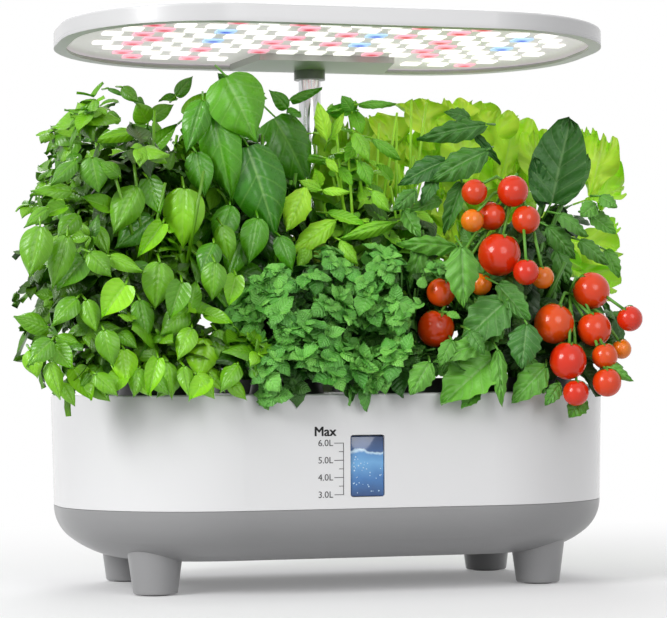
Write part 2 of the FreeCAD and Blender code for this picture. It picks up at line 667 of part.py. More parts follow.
def lamp_parts():
    shell = new_body("lamp_housing")
    top = lamp_slab(shell, "%s - lamp_wall" % LAMP_TOP, "0", "lamp_wall")
    lamp_slab(shell, "lamp_under + bezel_thick", "0", "lamp_thick - bezel_thick - lamp_wall / 2",
              ["lamp_wall"])
    round_edges(shell, shell.Tip, "lamp_wall * 0.9", at_level(val(LAMP_TOP)))
    holes = new_sketch(shell, "XY_Plane", "%s + 1" % LAMP_TOP)
    for side in BUTTON_SIDES:
        circle(holes, "pole_across + %d * button_pitch / 2" % side, "button_back", "button_radius + run_gap")
    pocket(shell, holes, "lamp_wall + 2")
    named(shell, "lamp_housing")
    bezel = new_body("lamp_bezel")
    lamp_slab(bezel, "lamp_under", "0", "bezel_thick", ["bezel_width"])
    named(bezel, "lamp_bezel")
    board = new_body("led_board")
    lamp_slab(board, BOARD_UNDER, "lamp_wall + run_gap", "board_thick")
    named(board, "led_board")
    cover = new_body("mount_cover")
    face = new_sketch(cover, "XY_Plane", "lamp_under - 1")
    half, taper = "cover_width / 2", "cover_taper"
    rear, front = LAMP_REAR + " - bezel_width - run_gap", LAMP_REAR + " - bezel_width - cover_depth"
    outline(face, [("pole_across - %s" % half, rear), ("pole_across - %s + %s" % (half, taper), front),
                   ("pole_across + %s - %s" % (half, taper), front), ("pole_across + %s" % half, rear)])
    pad(cover, face, "%s - lamp_under + 1" % BOARD_UNDER)
    bore = new_sketch(cover, "XY_Plane", "lamp_under - 2")
    circle(bore, "pole_across", "pole_back", "pole_inner_radius")
    pocket(cover, bore, "lamp_thick", up=True)
    named(cover, "mount_cover")
    named(tube("lamp_collar", "collar_radius", "pole_inner_radius", "collar_height - 1", "pole_across",
               "pole_back", "lamp_under - collar_height"), "lamp_collar")
    for side, label in zip(BUTTON_SIDES, ("power_button", "mode_button")):
        x = "pole_across + %d * button_pitch / 2" % side
        cap = cylinder(label + "_cap", "button_radius", "lamp_wall + button_rise", x, "button_back",
                       "%s - lamp_wall" % LAMP_TOP)
        flange = cylinder(label + "_flange", "button_radius + button_flange", "1", x, "button_back",
                          "%s - lamp_wall - 1" % LAMP_TOP)
        named(fused(label, [cap, flange]), label)
    switch_height = "(%s - lamp_wall - 1 - button_travel) - (%s)" % (LAMP_TOP, BOARD_TOP)
    compound("button_switches", [
        boxed("switch_%d" % (side > 0), "switch_width", "switch_width", switch_height,
              "pole_across + %d * button_pitch / 2" % side, "button_back", BOARD_TOP)
        for side in BUTTON_SIDES])
    named(boxed("lamp_driver", "driver_length", "driver_width", "driver_height", "pole_across",
                "button_back - driver_width - switch_width", BOARD_TOP), "lamp_driver")
    led_groups()


BOARD_UNDER = "lamp_under + board_recess"
BOARD_TOP = BOARD_UNDER + " + board_thick"


def led_colour(column, row):
    """Grow-light colour at a place of the staggered grid: mostly white, some red, a few blue."""
    if row in (2, 4) and column % 5 == 1:
        return "blue"
    if row % 2 == 0 and column % 2 == 0 and (column + row) % 3 != 0:
        return "red"
    if row % 2 == 1 and column % 5 == 3:
        return "red"
    return "white"


def led_sites():
    """Places of the staggered grid that lie inside the reflector and clear of the mount cover."""
    half_w, half_d = val("lamp_width / 2 - led_margin"), val("lamp_depth / 2 - led_margin")
    corner = val("lamp_corner - led_margin")
    pitch_x, pitch_y = val("led_pitch_x"), val("led_pitch_y")
    cover_half, cover_front = val("cover_width / 2 + 4"), val(LAMP_REAR + " - bezel_width - cover_depth")
    rows = int(2 * half_d // pitch_y)
    columns = int(2 * half_w // pitch_x) + 1
    for row in range(rows):
        y = -half_d + pitch_y / 2 + row * pitch_y
        for column in range(-columns // 2, columns // 2 + 1):
            x = (column + (0.5 if row % 2 else 0)) * pitch_x
            reach_x = abs(x) + val("led_length") / 2 - (half_w - corner)
            reach_y = abs(y) + val("led_width") / 2 - (half_d - corner)
            inside = math.hypot(max(reach_x, 0), max(reach_y, 0)) < corner
            real_y = y - val("lamp_forward")
            behind = real_y + val("led_width") / 2 > cover_front - 1
            if inside and not (behind and abs(x - val("pole_across")) < cover_half + val("led_length") / 2):
                yield column, row, x, real_y


def led_groups():
    tiles = {"white": [], "red": [], "blue": []}
    size = [val(name) for name in ("led_length", "led_width", "led_height")]
    for column, row, x, y in led_sites():
        corner = V(x - size[0] / 2, y - size[1] / 2, val(BOARD_UNDER) - size[2])
        tiles[led_colour(column, row)].append(Part.makeBox(*size, corner))
    for colour, shapes in tiles.items():
        group = doc.addObject("Part::Feature", colour + "_leds")
        group.Shape = Part.makeCompound(shapes)
        named(group, colour + "_leds")


# pump hung under the deck

PUMP_TOP = "pump_level + pump_height"
PUMP_FRONT = "pump_back - pump_depth / 2"
ROTOR_Z = "pump_level + pump_height / 2 - 1"


def along_y(name, radius, length, x, y, z):
    """A cylinder that runs towards the rear from y."""
    obj = doc.addObject("Part::Cylinder", name)
    bind(obj, Radius=radius, Height=length)
    obj.Placement.Rotation = FreeCAD.Rotation(V(1, 0, 0), -90)
    return place(obj, x, y, z)


def pump_parts():
    x, y = "pump_across", "pump_back"
    case = boxed("pump_case", "pump_width", "pump_depth", "pump_height", x, y, "pump_level")
    chamber = along_y("pump_chamber", "rotor_radius + 1.5", "rotor_length + 3", x, PUMP_FRONT, ROTOR_Z)
    rear_bore = along_y("pump_rear_bore", "shaft_radius", "rotor_length + 8", x, PUMP_FRONT, ROTOR_Z)
    throat = cylinder("pump_throat", "spout_radius - spout_wall", "pump_height", x,
                      "pump_back - pump_depth / 2 + 8", ROTOR_Z)
    named(cut_from("pump_body", case, fused("pump_cuts", [chamber, rear_bore, throat])), "pump_body")
    rotor = [along_y("rotor_magnet", "rotor_radius * 0.7", "rotor_length * 0.6", x,
                     "%s + 1 + rotor_length * 0.4" % PUMP_FRONT, ROTOR_Z)]
    for k in range(4):
        blade = doc.addObject("Part::Box", "rotor_blade_%d" % k)
        bind(blade, Length="rotor_radius", Width="rotor_length * 0.4 + 1", Height="1.4")
        blade.Placement.Rotation = FreeCAD.Rotation(V(0, 1, 0), 90 * k)
        shift = (("0", "-0.7"), ("-0.7", "0"), ("0", "0.7"), ("0.7", "0"))[k]
        place(blade, "%s + %s" % (x, shift[0]), "%s + 1" % PUMP_FRONT, "%s + %s" % (ROTOR_Z, shift[1]))
        rotor.append(blade)
    bore = along_y("rotor_bore", "shaft_radius + nest_gap", "rotor_length * 2", x, "%s - 5" % PUMP_FRONT,
                   ROTOR_Z)
    named(cut_from("pump_rotor", fused("rotor_solid", rotor), bore), "pump_rotor")
    named(along_y("pump_shaft", "shaft_radius", "rotor_length + 8", x, PUMP_FRONT, ROTOR_Z), "pump_shaft")
    strainer_parts(x)
    spout = tube("pump_spout", "spout_radius", "spout_radius - spout_wall",
                 "rim_height - (%s) - 1" % PUMP_TOP, x, "pump_back + pump_depth / 4", PUMP_TOP)
    named(spout, "pump_spout")
    bracket_parts(x, y)


def strainer_parts(x):
    """Slotted intake cover clipped to the front of the pump."""
    face = boxed("strainer_face", "pump_width", "strainer_thick", "pump_height", x,
                 "%s - strainer_thick / 2" % PUMP_FRONT, "pump_level")
    room = boxed("strainer_room", "pump_width - 2 * pump_wall", "strainer_thick",
                 "pump_height - 2 * pump_wall", x, "%s - strainer_thick / 2 + pump_wall" % PUMP_FRONT,
                 "pump_level + pump_wall")
    slots = [room]
    for k in range(5):
        slots.append(boxed("strainer_slot_%d" % k, "strainer_slot", "strainer_thick * 3",
                           "pump_height - 4 * pump_wall", "%s + %d * 2.5 * strainer_slot" % (x, k - 2),
                           PUMP_FRONT, "pump_level + 2 * pump_wall"))
    named(cut_from("pump_strainer", face, fused("strainer_cuts", slots)), "pump_strainer")


def bracket_parts(x, y):
    """Strap that cradles the pump and hooks up to the deck's underside."""
    drop = "%s - pump_level + strap_thick" % TUB_TOP
    sides = [boxed("strap_side_%d" % (side > 0), "strap_thick", "strap_width", drop,
                   "%s + %d * (pump_width + strap_thick) / 2" % (x, side), "%s - 6" % y,
                   "pump_level - strap_thick")
             for side in (-1, 1)]
    under = boxed("strap_under", "pump_width + 2 * strap_thick", "strap_width", "strap_thick", x,
                  "%s - 6" % y, "pump_level - strap_thick")
    named(fused("pump_bracket", sides + [under]), "pump_bracket")


# foliage

def cell_limits(column, row):
    """Box that one plant may fill: half way to its neighbours, or out to the foliage's reach."""
    low_x = "-foliage_x" if column == POD_COLUMNS[0] else "(%s - 0.5) * pod_pitch_x + cell_gap / 2" % column
    high_x = "foliage_x" if column == POD_COLUMNS[-1] else "(%s + 0.5) * pod_pitch_x - cell_gap / 2" % column
    low_y = "-foliage_y" if row == POD_ROWS[0] else "(%s - 0.5) * pod_pitch_y + cell_gap / 2" % row
    high_y = "foliage_y" if row == POD_ROWS[-1] else "(%s + 0.5) * pod_pitch_y - cell_gap / 2" % row
    return low_x, high_x, low_y, high_y


# lobes of each habit: outward, along the front, share of the height, radius
HABITS = {
    "basil": [(26, 0, 0.30, 62), (34, 8, 0.55, 66), (14, -6, 0.78, 46)],
    "broad": [(0, 0, 0.30, 50), (4, 6, 0.58, 56), (-6, 0, 0.80, 47)],
    "balm": [(0, 10, 0.36, 52), (-18, -14, 0.42, 40), (16, -18, 0.40, 42)],
    "mint": [(0, 0, 0.30, 46), (8, 0, 0.58, 44), (-8, 0, 0.82, 38)],
    "lettuce": [(0, 10, 0.35, 56), (-8, 28, 0.62, 60), (14, 12, 0.76, 52)],
    "tomato": [(6, 10, 0.32, 52), (32, 6, 0.56, 62), (0, 0, 0.76, 46)],
}


def plant(label, column, row, habit, height, room=None, branches=()):
    """One plant: a stem out of its plug and a lumpy crown inside its own cell."""
    x, y = pod_place(column, row)
    out = (column > 0) - (column < 0)
    back = 1 if row >= 0 else -1
    root = "rim_height + basket_rise - basket_wall"
    lobes = []
    for k, (shift, along, share, radius) in enumerate(HABITS[habit]):
        ball = doc.addObject("Part::Sphere", "%s_lobe_%d" % (label, k))
        bind(ball, Radius=str(radius))
        place(ball, "%s + %s" % (x, out * shift), "%s + %s" % (y, back * along),
              "%s + %s * %s" % (root, share, height))
        lobes.append(ball)
    low_x, high_x, low_y, high_y = cell_limits(column, row)
    cell = doc.addObject("Part::Box", label + "_cell")
    bind(cell, Length="(%s) - (%s)" % (high_x, low_x), Width="(%s) - (%s)" % (high_y, low_y),
         Height="%s - crown_rise" % height)
    place(cell, low_x, low_y, "%s + crown_rise" % root)
    crown = doc.addObject("Part::Common", label + "_crown")
    crown.Base = fused(label + "_lobes", lobes)
    crown.Tool = cell
    stem = cylinder(label + "_stem", "stem_radius", "%s * 0.3" % height, x, y, root)
    whole = fused(label + "_whole", [crown, stem] + list(branches))
    if room:
        whole = cut_from(label + "_clear", whole, room)
    return named(whole, label)


# tomatoes: across and back from their plant's pod, height above the deck, radius
TOMATOES = [
    (-61, -48, 138, 9), (-33, -48, 139, 11), (-64, -52, 118, 8), (-47, -42, 122, 10), (-25, -52, 119, 10),
    (-44, -50, 95, 15), (-31, -68, 82, 9), (-54, -38, 75, 8), (-14, -54, 79, 8), (-84, -42, 69, 10),
    (-88, -42, 44, 13), (24, -48, 70, 13), (-6, -54, 47, 14), (22, -58, 43, 12), (46, -64, 50, 9),
    (-2, -70, 21, 13), (25, -70, 24, 9), (42, -58, 29, 7), (24, -76, 6, 10), (2, -74, -1, 9),
]

# where the fruit stalks leave the tomato plant: upper truss, then lower truss
TRUSSES = [((-24, -22, 143), range(0, 11)), ((12, -32, 68), range(11, 20))]


def by_pod(obj, across, back, rise):
    """Place a fruit or stalk by its distance from the tomato plant's pod."""
    pod_x, pod_y = pod_place(1.5, -1)
    return place(obj, "%s + %s" % (pod_x, across), "%s + %s" % (pod_y, back), "rim_height + %s" % rise)


def tomato_group(name, grow):
    balls = []
    for k, (across, back, rise, radius) in enumerate(TOMATOES):
        ball = doc.addObject("Part::Sphere", "%s_%d" % (name, k))
        bind(ball, Radius="%s + %s" % (radius, grow))
        balls.append(by_pod(ball, across, back, rise))
    return balls


def stalks(name, radius):
    """A straight stalk from its truss to the middle of each fruit."""
    rods = []
    for start, fruits in TRUSSES:
        for k in fruits:
            along = V(*TOMATOES[k][:3]) - V(*start)
            rod = doc.addObject("Part::Cylinder", "%s_%d" % (name, k))
            bind(rod, Radius=radius)
            rod.Height = along.Length
            rod.Placement.Rotation = FreeCAD.Rotation(V(0, 0, 1), along)
            rods.append(by_pod(rod, *start))
    return rods


def foliage():
    fruit = fused("fruit_room", tomato_group("room", "fruit_gap"))
    truss = fused("truss_room", tomato_group("near", "fruit_gap")
                  + stalks("reach", "vine_radius + fruit_gap"))
    mast = cylinder("mast_room", "pole_outer_radius + pole_room", "lamp_under - rim_height", "pole_across",
                    "pole_back", "rim_height")
    plant("basil_front_left", -1.5, -1, "basil", "basil_height")
    plant("basil_middle_left", -1.5, 0, "basil", "basil_height")
    plant("thai_basil", -1.5, 1, "basil", "thai_height")
    plant("lemon_balm_left", -0.5, -1, "balm", "balm_height")
    plant("broad_basil_front", -0.5, 0, "broad", "broad_height")
    plant("broad_basil_rear", -0.5, 1, "broad", "thai_height", mast)
    plant("lemon_balm_right", 0.5, -1, "balm", "balm_height", truss)
    plant("peppermint", 0.5, 0, "mint", "mint_height", truss)
    plant("lettuce_left", 0.5, 1, "lettuce", "lettuce_height", mast)
    plant("tomato_front", 1.5, -1, "tomato", "tomato_height", fruit, stalks("stalk", "vine_radius"))
    plant("tomato_rear", 1.5, 0, "tomato", "tomato_height")
    plant("lettuce_right", 1.5, 1, "lettuce", "cress_height")
    compound("tomatoes", tomato_group("tomato", "0"))


tank()
base_shell()
form = base_form()
for name, (sx, sy) in zip(FOOT_NAMES, FOOT_SIGNS):
    foot(name, sx, sy, form)
foot_group("foot_pads", foot_pad)
foot_group("foot_screws", foot_screw)
window_parts()
grow_deck()
refill_lid()
compound("grow_baskets", [basket("basket_%d" % k, *pod_place(*pod)) for k, pod in enumerate(PODS)])
compound("grow_sponges", [sponge("sponge_%d" % k, *pod_place(*pod)) for k, pod in enumerate(PODS)])
pole_parts()
lamp_parts()
pump_parts()
foliage()
doc.recompute()

# nothing is written unless every feature and every sub-part is sound
failed = [obj.Label for obj in doc.Objects if "Invalid" in obj.State or "Error" in obj.State]
unsound = [obj.Label for obj in PARTS if obj.Shape.isNull() or not obj.Shape.isValid()]
if failed or unsound:
    raise RuntimeError("failed: %s, unsound: %s" % (failed, unsound))
os.makedirs("parts", exist_ok=True)
for obj in PARTS:
    obj.Shape.exportStep(os.path.join("parts", obj.Label + ".step"))
print(len(PARTS), "sub-parts written")
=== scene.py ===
import math
import random

import bmesh
import bpy
from mathutils import Matrix, Vector


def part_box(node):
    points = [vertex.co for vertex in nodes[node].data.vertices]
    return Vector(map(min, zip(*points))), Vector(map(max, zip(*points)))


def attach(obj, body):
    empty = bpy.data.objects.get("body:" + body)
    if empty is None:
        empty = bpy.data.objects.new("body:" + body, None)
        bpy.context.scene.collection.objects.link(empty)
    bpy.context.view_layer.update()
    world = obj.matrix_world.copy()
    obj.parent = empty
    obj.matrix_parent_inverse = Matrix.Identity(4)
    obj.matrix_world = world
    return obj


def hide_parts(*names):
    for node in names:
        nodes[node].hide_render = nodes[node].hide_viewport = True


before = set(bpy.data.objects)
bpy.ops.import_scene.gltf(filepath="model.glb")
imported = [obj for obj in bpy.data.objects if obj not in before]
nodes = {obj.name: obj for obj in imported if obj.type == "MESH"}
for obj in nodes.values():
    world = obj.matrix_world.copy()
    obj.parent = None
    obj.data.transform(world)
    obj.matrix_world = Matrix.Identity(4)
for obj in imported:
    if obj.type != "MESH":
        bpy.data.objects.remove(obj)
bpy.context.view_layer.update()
random.seed(12)
scene = bpy.context.scene
scene.view_settings.view_transform = "Standard"

# View and light
# The planter is seen from a little to its left, level with the rim, through a long lens.
# Three soft lamps and a pale surround light it like a catalogue picture.
YAW, PITCH, ROLL = math.radians(14.4), math.radians(-1.7), math.radians(-0.5)
DISTANCE, AIM, FOCAL_PIXELS = 1.6961, Vector((0.0046, 0, 0.1978)), 2328.3
FRAME_WIDTH, FRAME_HEIGHT, SENSOR = 667, 618, 36

back = Vector((-math.sin(YAW) * math.cos(PITCH), -math.cos(YAW) * math.cos(PITCH), math.sin(PITCH)))
right = (-back).cross(Vector((0, 0, 1))).normalized()
up = right.cross(-back)
tilted = right * math.cos(ROLL) + up * math.sin(ROLL)
up = up * math.cos(ROLL) - right * math.sin(ROLL)
right = tilted
eye = AIM + back * DISTANCE
camera = bpy.data.objects.new("camera", bpy.data.cameras.new("camera"))
camera.matrix_world = Matrix.Translation(eye) @ Matrix((right, up, back)).transposed().to_4x4()
camera.data.sensor_width = SENSOR
camera.data.lens = FOCAL_PIXELS * SENSOR / FRAME_WIDTH
camera.data.clip_end = 30
scene.collection.objects.link(camera)
scene.camera = camera


def at_pixel(px, py, depth):
    """The point that a pixel of the picture shows at a distance y = depth from the planter's middle."""
    ray = right * (px - FRAME_WIDTH / 2) - up * (py - FRAME_HEIGHT / 2) - back * FOCAL_PIXELS
    return eye + ray * ((depth - eye.y) / ray.y)


def soft_lamp(name, place, aim, size, watts):
    light = bpy.data.lights.new(name, "AREA")
    light.shape = "DISK"
    light.size = size
    light.energy = watts
    lamp = bpy.data.objects.new(name, light)
    lamp.location = place
    lamp.rotation_euler = (Vector(place) - Vector(aim)).to_track_quat("Z", "Y").to_euler()
    scene.collection.objects.link(lamp)


soft_lamp("key_light", (-1.8, -1.0, 1.1), (0, 0, 0.15), 1.0, 29)
soft_lamp("fill_light", (0.3, -2.0, 0.9), (0, 0, 0.2), 1.2, 11)
soft_lamp("rear_light", (0.3, 1.6, 1.3), (0, 0, 0.25), 1.2, 14)


def feed(socket, source):
    """Link a socket to another node's output, or set it to a plain number or colour."""
    if isinstance(source, bpy.types.NodeSocket):
        socket.id_data.links.new(source, socket)
    else:
        socket.default_value = (*source, 1) if socket.type == "RGBA" else source


def wire(node, **sources):
    """Feed a node's inputs by name, with _ where the name has a space."""
    for label, source in sources.items():
        feed(node.inputs[label.replace("_", " ")], source)


def add_node(tree, kind, **settings):
    node = tree.nodes.new("ShaderNode" + kind)
    for label, value in settings.items():
        setattr(node, label, value)
    return node


def maths(tree, kind, first, second=None):
    node = add_node(tree, "Math", operation=kind)
    feed(node.inputs[0], first)
    if second is not None:
        feed(node.inputs[1], second)
    return node.outputs[0]


def span(tree, source, low, high, from_low=0.0, from_high=1.0):
    """Spread a value from one range over another."""
    spread = add_node(tree, "MapRange")
    wire(spread, Value=source, From_Min=from_low, From_Max=from_high, To_Min=low, To_Max=high)
    return spread.outputs[0]


def camera_white(tree, strength_socket, plain, seen):
    """Give a strength one value for lighting and another where the eye, gloss or glass sees it."""
    path = add_node(tree, "LightPath").outputs
    either = maths(tree, "MAXIMUM", path["Is Camera Ray"], path["Is Glossy Ray"])
    sight = maths(tree, "MAXIMUM", either, path["Is Transmission Ray"])
    feed(strength_socket, span(tree, sight, plain, seen))


world = bpy.data.worlds.new("surround")
scene.world = world
world.use_nodes = True
surround = world.node_tree.nodes["Background"]
wire(surround, Color=(1, 1, 1))
camera_white(world.node_tree, surround.inputs["Strength"], 0.50, 1.0)


# Worktop under the planter
# A plain pale floor that keeps the planter's soft shadow and otherwise runs into the white surround.

def object_from(name, bm, smooth=True):
    """Finish a bmesh as an object that sits at the origin."""
    mesh = bpy.data.meshes.new(name)
    bm.to_mesh(mesh)
    bm.free()
    if smooth:
        mesh.polygons.foreach_set("use_smooth", [True] * len(mesh.polygons))
    piece = bpy.data.objects.new(name, mesh)
    scene.collection.objects.link(piece)
    return piece


def new_paint(name):
    """A material with its node tree and its surface."""
    material = bpy.data.materials.new(name)
    material.use_nodes = True
    return material, material.node_tree, material.node_tree.nodes["Principled BSDF"]


FLOOR_HALF, SHADOW_FLOOR, FADE_NEAR, FADE_FAR = 9, 0.82, 0.25, 0.75
floor_mesh = bmesh.new()
bmesh.ops.create_grid(floor_mesh, x_segments=2, y_segments=2, size=FLOOR_HALF)
floor = object_from("floor", floor_mesh, smooth=False)
floor_paint, tree, matte = new_paint("floor_paint")
wire(matte, Base_Color=(0.92, 0.92, 0.93), Roughness=0.8, Specular_IOR_Level=0.1)
glow = add_node(tree, "Emission")
wire(glow, Color=(1, 1, 1))
camera_white(tree, glow.inputs["Strength"], 0.0, 1.0)
away = add_node(tree, "VectorMath", operation="LENGTH")
feed(away.inputs[0], add_node(tree, "TexCoord").outputs["Object"])
blend = add_node(tree, "MixShader")
wire(blend, Fac=span(tree, away.outputs["Value"], SHADOW_FLOOR, 0.0, FADE_NEAR, FADE_FAR))
feed(blend.inputs[1], glow.outputs[0])
feed(blend.inputs[2], matte.outputs[0])
wire(tree.nodes["Material Output"], Surface=blend.outputs[0])
floor.data.materials.append(floor_paint)


# White tub and deck
# Gloss injection-moulded ABS: the tub with its water window, the lipped deck that drops on it,
# the refill flap and the pole's foot. Very fine grain, slightly uneven gloss.

def new_group(name, inputs, outputs):
    """A shader node group with named float inputs and outputs."""
    group = bpy.data.node_groups.new(name, "ShaderNodeTree")
    for label, value in inputs:
        socket = group.interface.new_socket(label, in_out="INPUT", socket_type="NodeSocketFloat")
        socket.default_value = value
    for label in outputs:
        group.interface.new_socket(label, in_out="OUTPUT", socket_type="NodeSocketFloat")
    return group, group.nodes.new("NodeGroupInput"), group.nodes.new("NodeGroupOutput")


def noise_in(tree, scale, detail=3.0, coords=None):
    noise = add_node(tree, "TexNoise")
    if coords is None:
        coords = add_node(tree, "TexCoord").outputs["Object"]
    wire(noise, Scale=scale, Detail=detail, Vector=coords)
    return noise.outputs["Fac"]


grain_group, grain_in, grain_out = new_group("moulded_grain", [("Grain", 900.0), ("Cloud", 9.0)],
                                             ["Height", "Patch"])
wire(grain_out, Height=noise_in(grain_group, grain_in.outputs["Grain"], 4.0),
     Patch=noise_in(grain_group, grain_in.outputs["Cloud"], 2.0))


def two_tone(tree, factor, first, second, kind="MIX"):
    """Blend two colours, each plain or another node's, by a mask."""
    mix = add_node(tree, "Mix", data_type="RGBA", blend_type=kind)
    wire(mix, Factor=factor, A=first, B=second)
    return mix.outputs["Result"]


def bump(tree, height, strength, distance=0.0004):
    node = add_node(tree, "Bump")
    wire(node, Strength=strength, Distance=distance, Height=height)
    return node.outputs["Normal"]


def moulded(name, colour, rough, grain=900.0, relief=0.06, shade=0.93, coat=0.0, metal=0.0):
    """Moulded or drawn surface: fine grain in the relief, soft clouds in colour and gloss."""
    material, tree, skin = new_paint(name)
    group = add_node(tree, "Group", node_tree=grain_group)
    wire(group, Grain=grain)
    patch = group.outputs["Patch"]
    wire(skin, Base_Color=two_tone(tree, patch, colour, tuple(c * shade for c in colour)),
         Roughness=span(tree, patch, rough * 0.85, rough * 1.2),
         Normal=bump(tree, group.outputs["Height"], relief), Coat_Weight=coat, Metallic=metal)
    return material


def finish(node, material):
    """Give a CAD node its surface."""
    nodes[node].data.materials.clear()
    nodes[node].data.materials.append(material)


white_gloss = moulded("white_gloss", (0.80, 0.80, 0.81), 0.22, relief=0.03, shade=0.97, coat=0.25)
for node in ("tank", "grow_deck", "refill_lid", "pole_base"):
    finish(node, white_gloss)


# Grey base, feet and small dark parts
# Satin grey ABS shell and its four tapered feet, with rubber pads and plated screws under them.
grey_satin = moulded("grey_satin", (0.30, 0.30, 0.305), 0.34, grain=1400.0, relief=0.10, shade=0.94,
                     coat=0.15)
for node in ("base_shell", "foot_front_left", "foot_front_right", "foot_rear_left", "foot_rear_right"):
    finish(node, grey_satin)
finish("foot_pads", moulded("pad_rubber", (0.035, 0.035, 0.035), 0.75, grain=700.0, relief=0.25))
plated = moulded("plated_steel", (0.62, 0.62, 0.64), 0.25, metal=1.0)
for node in ("foot_screws", "refill_pin", "pump_shaft", "power_jack"):
    finish(node, plated)


# Water window and its gauge
# A clear lens in the front wall with dark blue water behind it, bubbles, and a wavy waterline. The water
# carries painted light in a band and at the waterline, and painted shade above it.
# The litre marks beside it are a thin black print.
lens_low, lens_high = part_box("window_lens")
GLASS_DEPTH, FLANGE_BACK, LENS_EDGE = 0.0022, 0.0036, 0.0003
WINDOW_X, WINDOW_W, WINDOW_Z, WINDOW_H = -0.003, 0.0234, 0.067, 0.0414
WINDOW_TOP = WINDOW_Z + WINDOW_H


def block(name, low, high, corner=0.0, segments=3, smooth=False):
    """A box between two corners with its edges rounded."""
    bm = bmesh.new()
    bmesh.ops.create_cube(bm, size=1)
    size = [b - a for a, b in zip(low, high)]
    middle = [(a + b) / 2 for a, b in zip(low, high)]
    bmesh.ops.scale(bm, vec=size, verts=bm.verts)
    bmesh.ops.translate(bm, vec=middle, verts=bm.verts)
    if corner:
        bmesh.ops.bevel(bm, geom=bm.edges[:], offset=corner, segments=segments, affect="EDGES",
                        profile=0.5, material=-1)
    return object_from(name, bm, smooth)


# the water from the sill up: deep blue, a band of painted light, the waterline as a pale painted highlight,
# then painted shade above the water
WATER_PAINTED_LIGHT_STOPS = ((0.0, (0.02, 0.07, 0.22)), (0.30, (0.05, 0.20, 0.50)), (0.55, (0.16, 0.42, 0.75)),
               (0.70, (0.10, 0.30, 0.62)), (0.735, (0.60, 0.80, 0.95)), (0.76, (0.03, 0.10, 0.28)),
               (1.0, (0.01, 0.035, 0.11)))
WAVE_HEIGHT, WAVE_LIFT = 0.008, 0.004


def water_paint():
    """Blue water seen through the lens, with a band of painted light, a wavy painted highlight at its top and
    painted shade above.
    """
    material, tree, skin = new_paint("window_water")
    coords = add_node(tree, "TexCoord").outputs["Object"]
    parts = add_node(tree, "SeparateXYZ")
    feed(parts.inputs[0], coords)
    wave = maths(tree, "MULTIPLY", noise_in(tree, 95.0, 4.0, coords), WAVE_HEIGHT)
    wave = maths(tree, "ADD", wave, parts.outputs["Z"])
    ramp = add_node(tree, "ValToRGB")
    for place, colour in WATER_PAINTED_LIGHT_STOPS[1:-1]:
        ramp.color_ramp.elements.new(place)
    for stop, (place, colour) in zip(ramp.color_ramp.elements, WATER_PAINTED_LIGHT_STOPS):
        stop.position = place
        stop.color = (*colour, 1)
    wire(ramp, Fac=span(tree, wave, 0.0, 1.0, WINDOW_Z + WAVE_LIFT, WINDOW_TOP + WAVE_LIFT))
    wire(skin, Base_Color=ramp.outputs["Color"], Coat_Weight=0.6,
         Roughness=span(tree, noise_in(tree, 160.0, 3.0, coords), 0.05, 0.16))
    return material


lens_front = lens_low.y + 0.0001
lens = block("window_pane", (WINDOW_X - WINDOW_W / 2, lens_front, WINDOW_Z + LENS_EDGE),
             (WINDOW_X + WINDOW_W / 2, lens_front + GLASS_DEPTH, WINDOW_TOP - LENS_EDGE), 0.0009, smooth=True)
lens.data.materials.append(water_paint())
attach(lens, "base")
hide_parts("window_lens")
flange = block("window_flange", (lens_low.x, lens_front + GLASS_DEPTH + FLANGE_BACK, lens_low.z),
               (lens_high.x, lens_high.y, lens_high.z), 0.0006)
flange.data.materials.append(moulded("clear_flange", (0.30, 0.42, 0.55), 0.12, relief=0.02))
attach(flange, "base")

BUBBLES, BUBBLE_SMALL, BUBBLE_LARGE = 34, 0.00025, 0.0006
bubbles_mesh = bmesh.new()
for k in range(BUBBLES):
    x = WINDOW_X + random.uniform(-0.42, 0.42) * WINDOW_W
    z = WINDOW_Z + random.uniform(0.06, 0.66) * WINDOW_H
    bead = Matrix.Translation((x, lens_front, z)) @ Matrix.Diagonal((1, 0.35, 1, 1))
    bmesh.ops.create_icosphere(bubbles_mesh, subdivisions=2, matrix=bead,
                               radius=random.uniform(BUBBLE_SMALL, BUBBLE_LARGE))
bubbles = object_from("window_bubbles", bubbles_mesh)
# painted sheen: the bubbles' pale blue stands in for the light they reflect
bubbles.data.materials.append(moulded("bubble_painted_sheen", (0.50, 0.72, 0.92), 0.08, relief=0.02, coat=0.5))
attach(bubbles, "base")
finish("window_gasket", moulded("gasket_rubber", (0.05, 0.05, 0.05), 0.7, relief=0.2))

TUB_FRONT_TOP, TUB_FRONT_SEAM, TUB_TOP_Z, SEAM_Z = -0.120, -0.1182, 0.133, 0.0593
PRINT_THICK = 0.00012
ink = moulded("gauge_ink", (0.012, 0.012, 0.014), 0.45, relief=0.05)


def wall_front(z):
    """The tub's front wall leans a little: its y at a height."""
    share = (z - SEAM_Z) / (TUB_TOP_Z - SEAM_Z)
    return TUB_FRONT_SEAM + (TUB_FRONT_TOP - TUB_FRONT_SEAM) * share


def print_on_wall(piece):
    """Lean a flat print onto the wall and fix it there as ink."""
    for vertex in piece.data.vertices:
        vertex.co.y += wall_front(vertex.co.z)
    piece.data.materials.clear()
    piece.data.materials.append(ink)
    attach(piece, "base")


def lettering(name, words, height, x, z):
    """Small upright print on the wall, its right end at x and its middle at z."""
    curve = bpy.data.curves.new(name, "FONT")
    curve.body = words
    curve.size = height
    curve.extrude = PRINT_THICK
    curve.align_x = "RIGHT"
    curve.align_y = "CENTER"
    holder = bpy.data.objects.new(name + "_curve", curve)
    scene.collection.objects.link(holder)
    bpy.context.view_layer.update()
    mesh = bpy.data.meshes.new_from_object(holder)
    bpy.data.objects.remove(holder)
    mesh.transform(Matrix.Translation((x, 0, z)) @ Matrix.Rotation(math.pi / 2, 4, "X"))
    piece = bpy.data.objects.new(name, mesh)
    scene.collection.objects.link(piece)
    print_on_wall(piece)


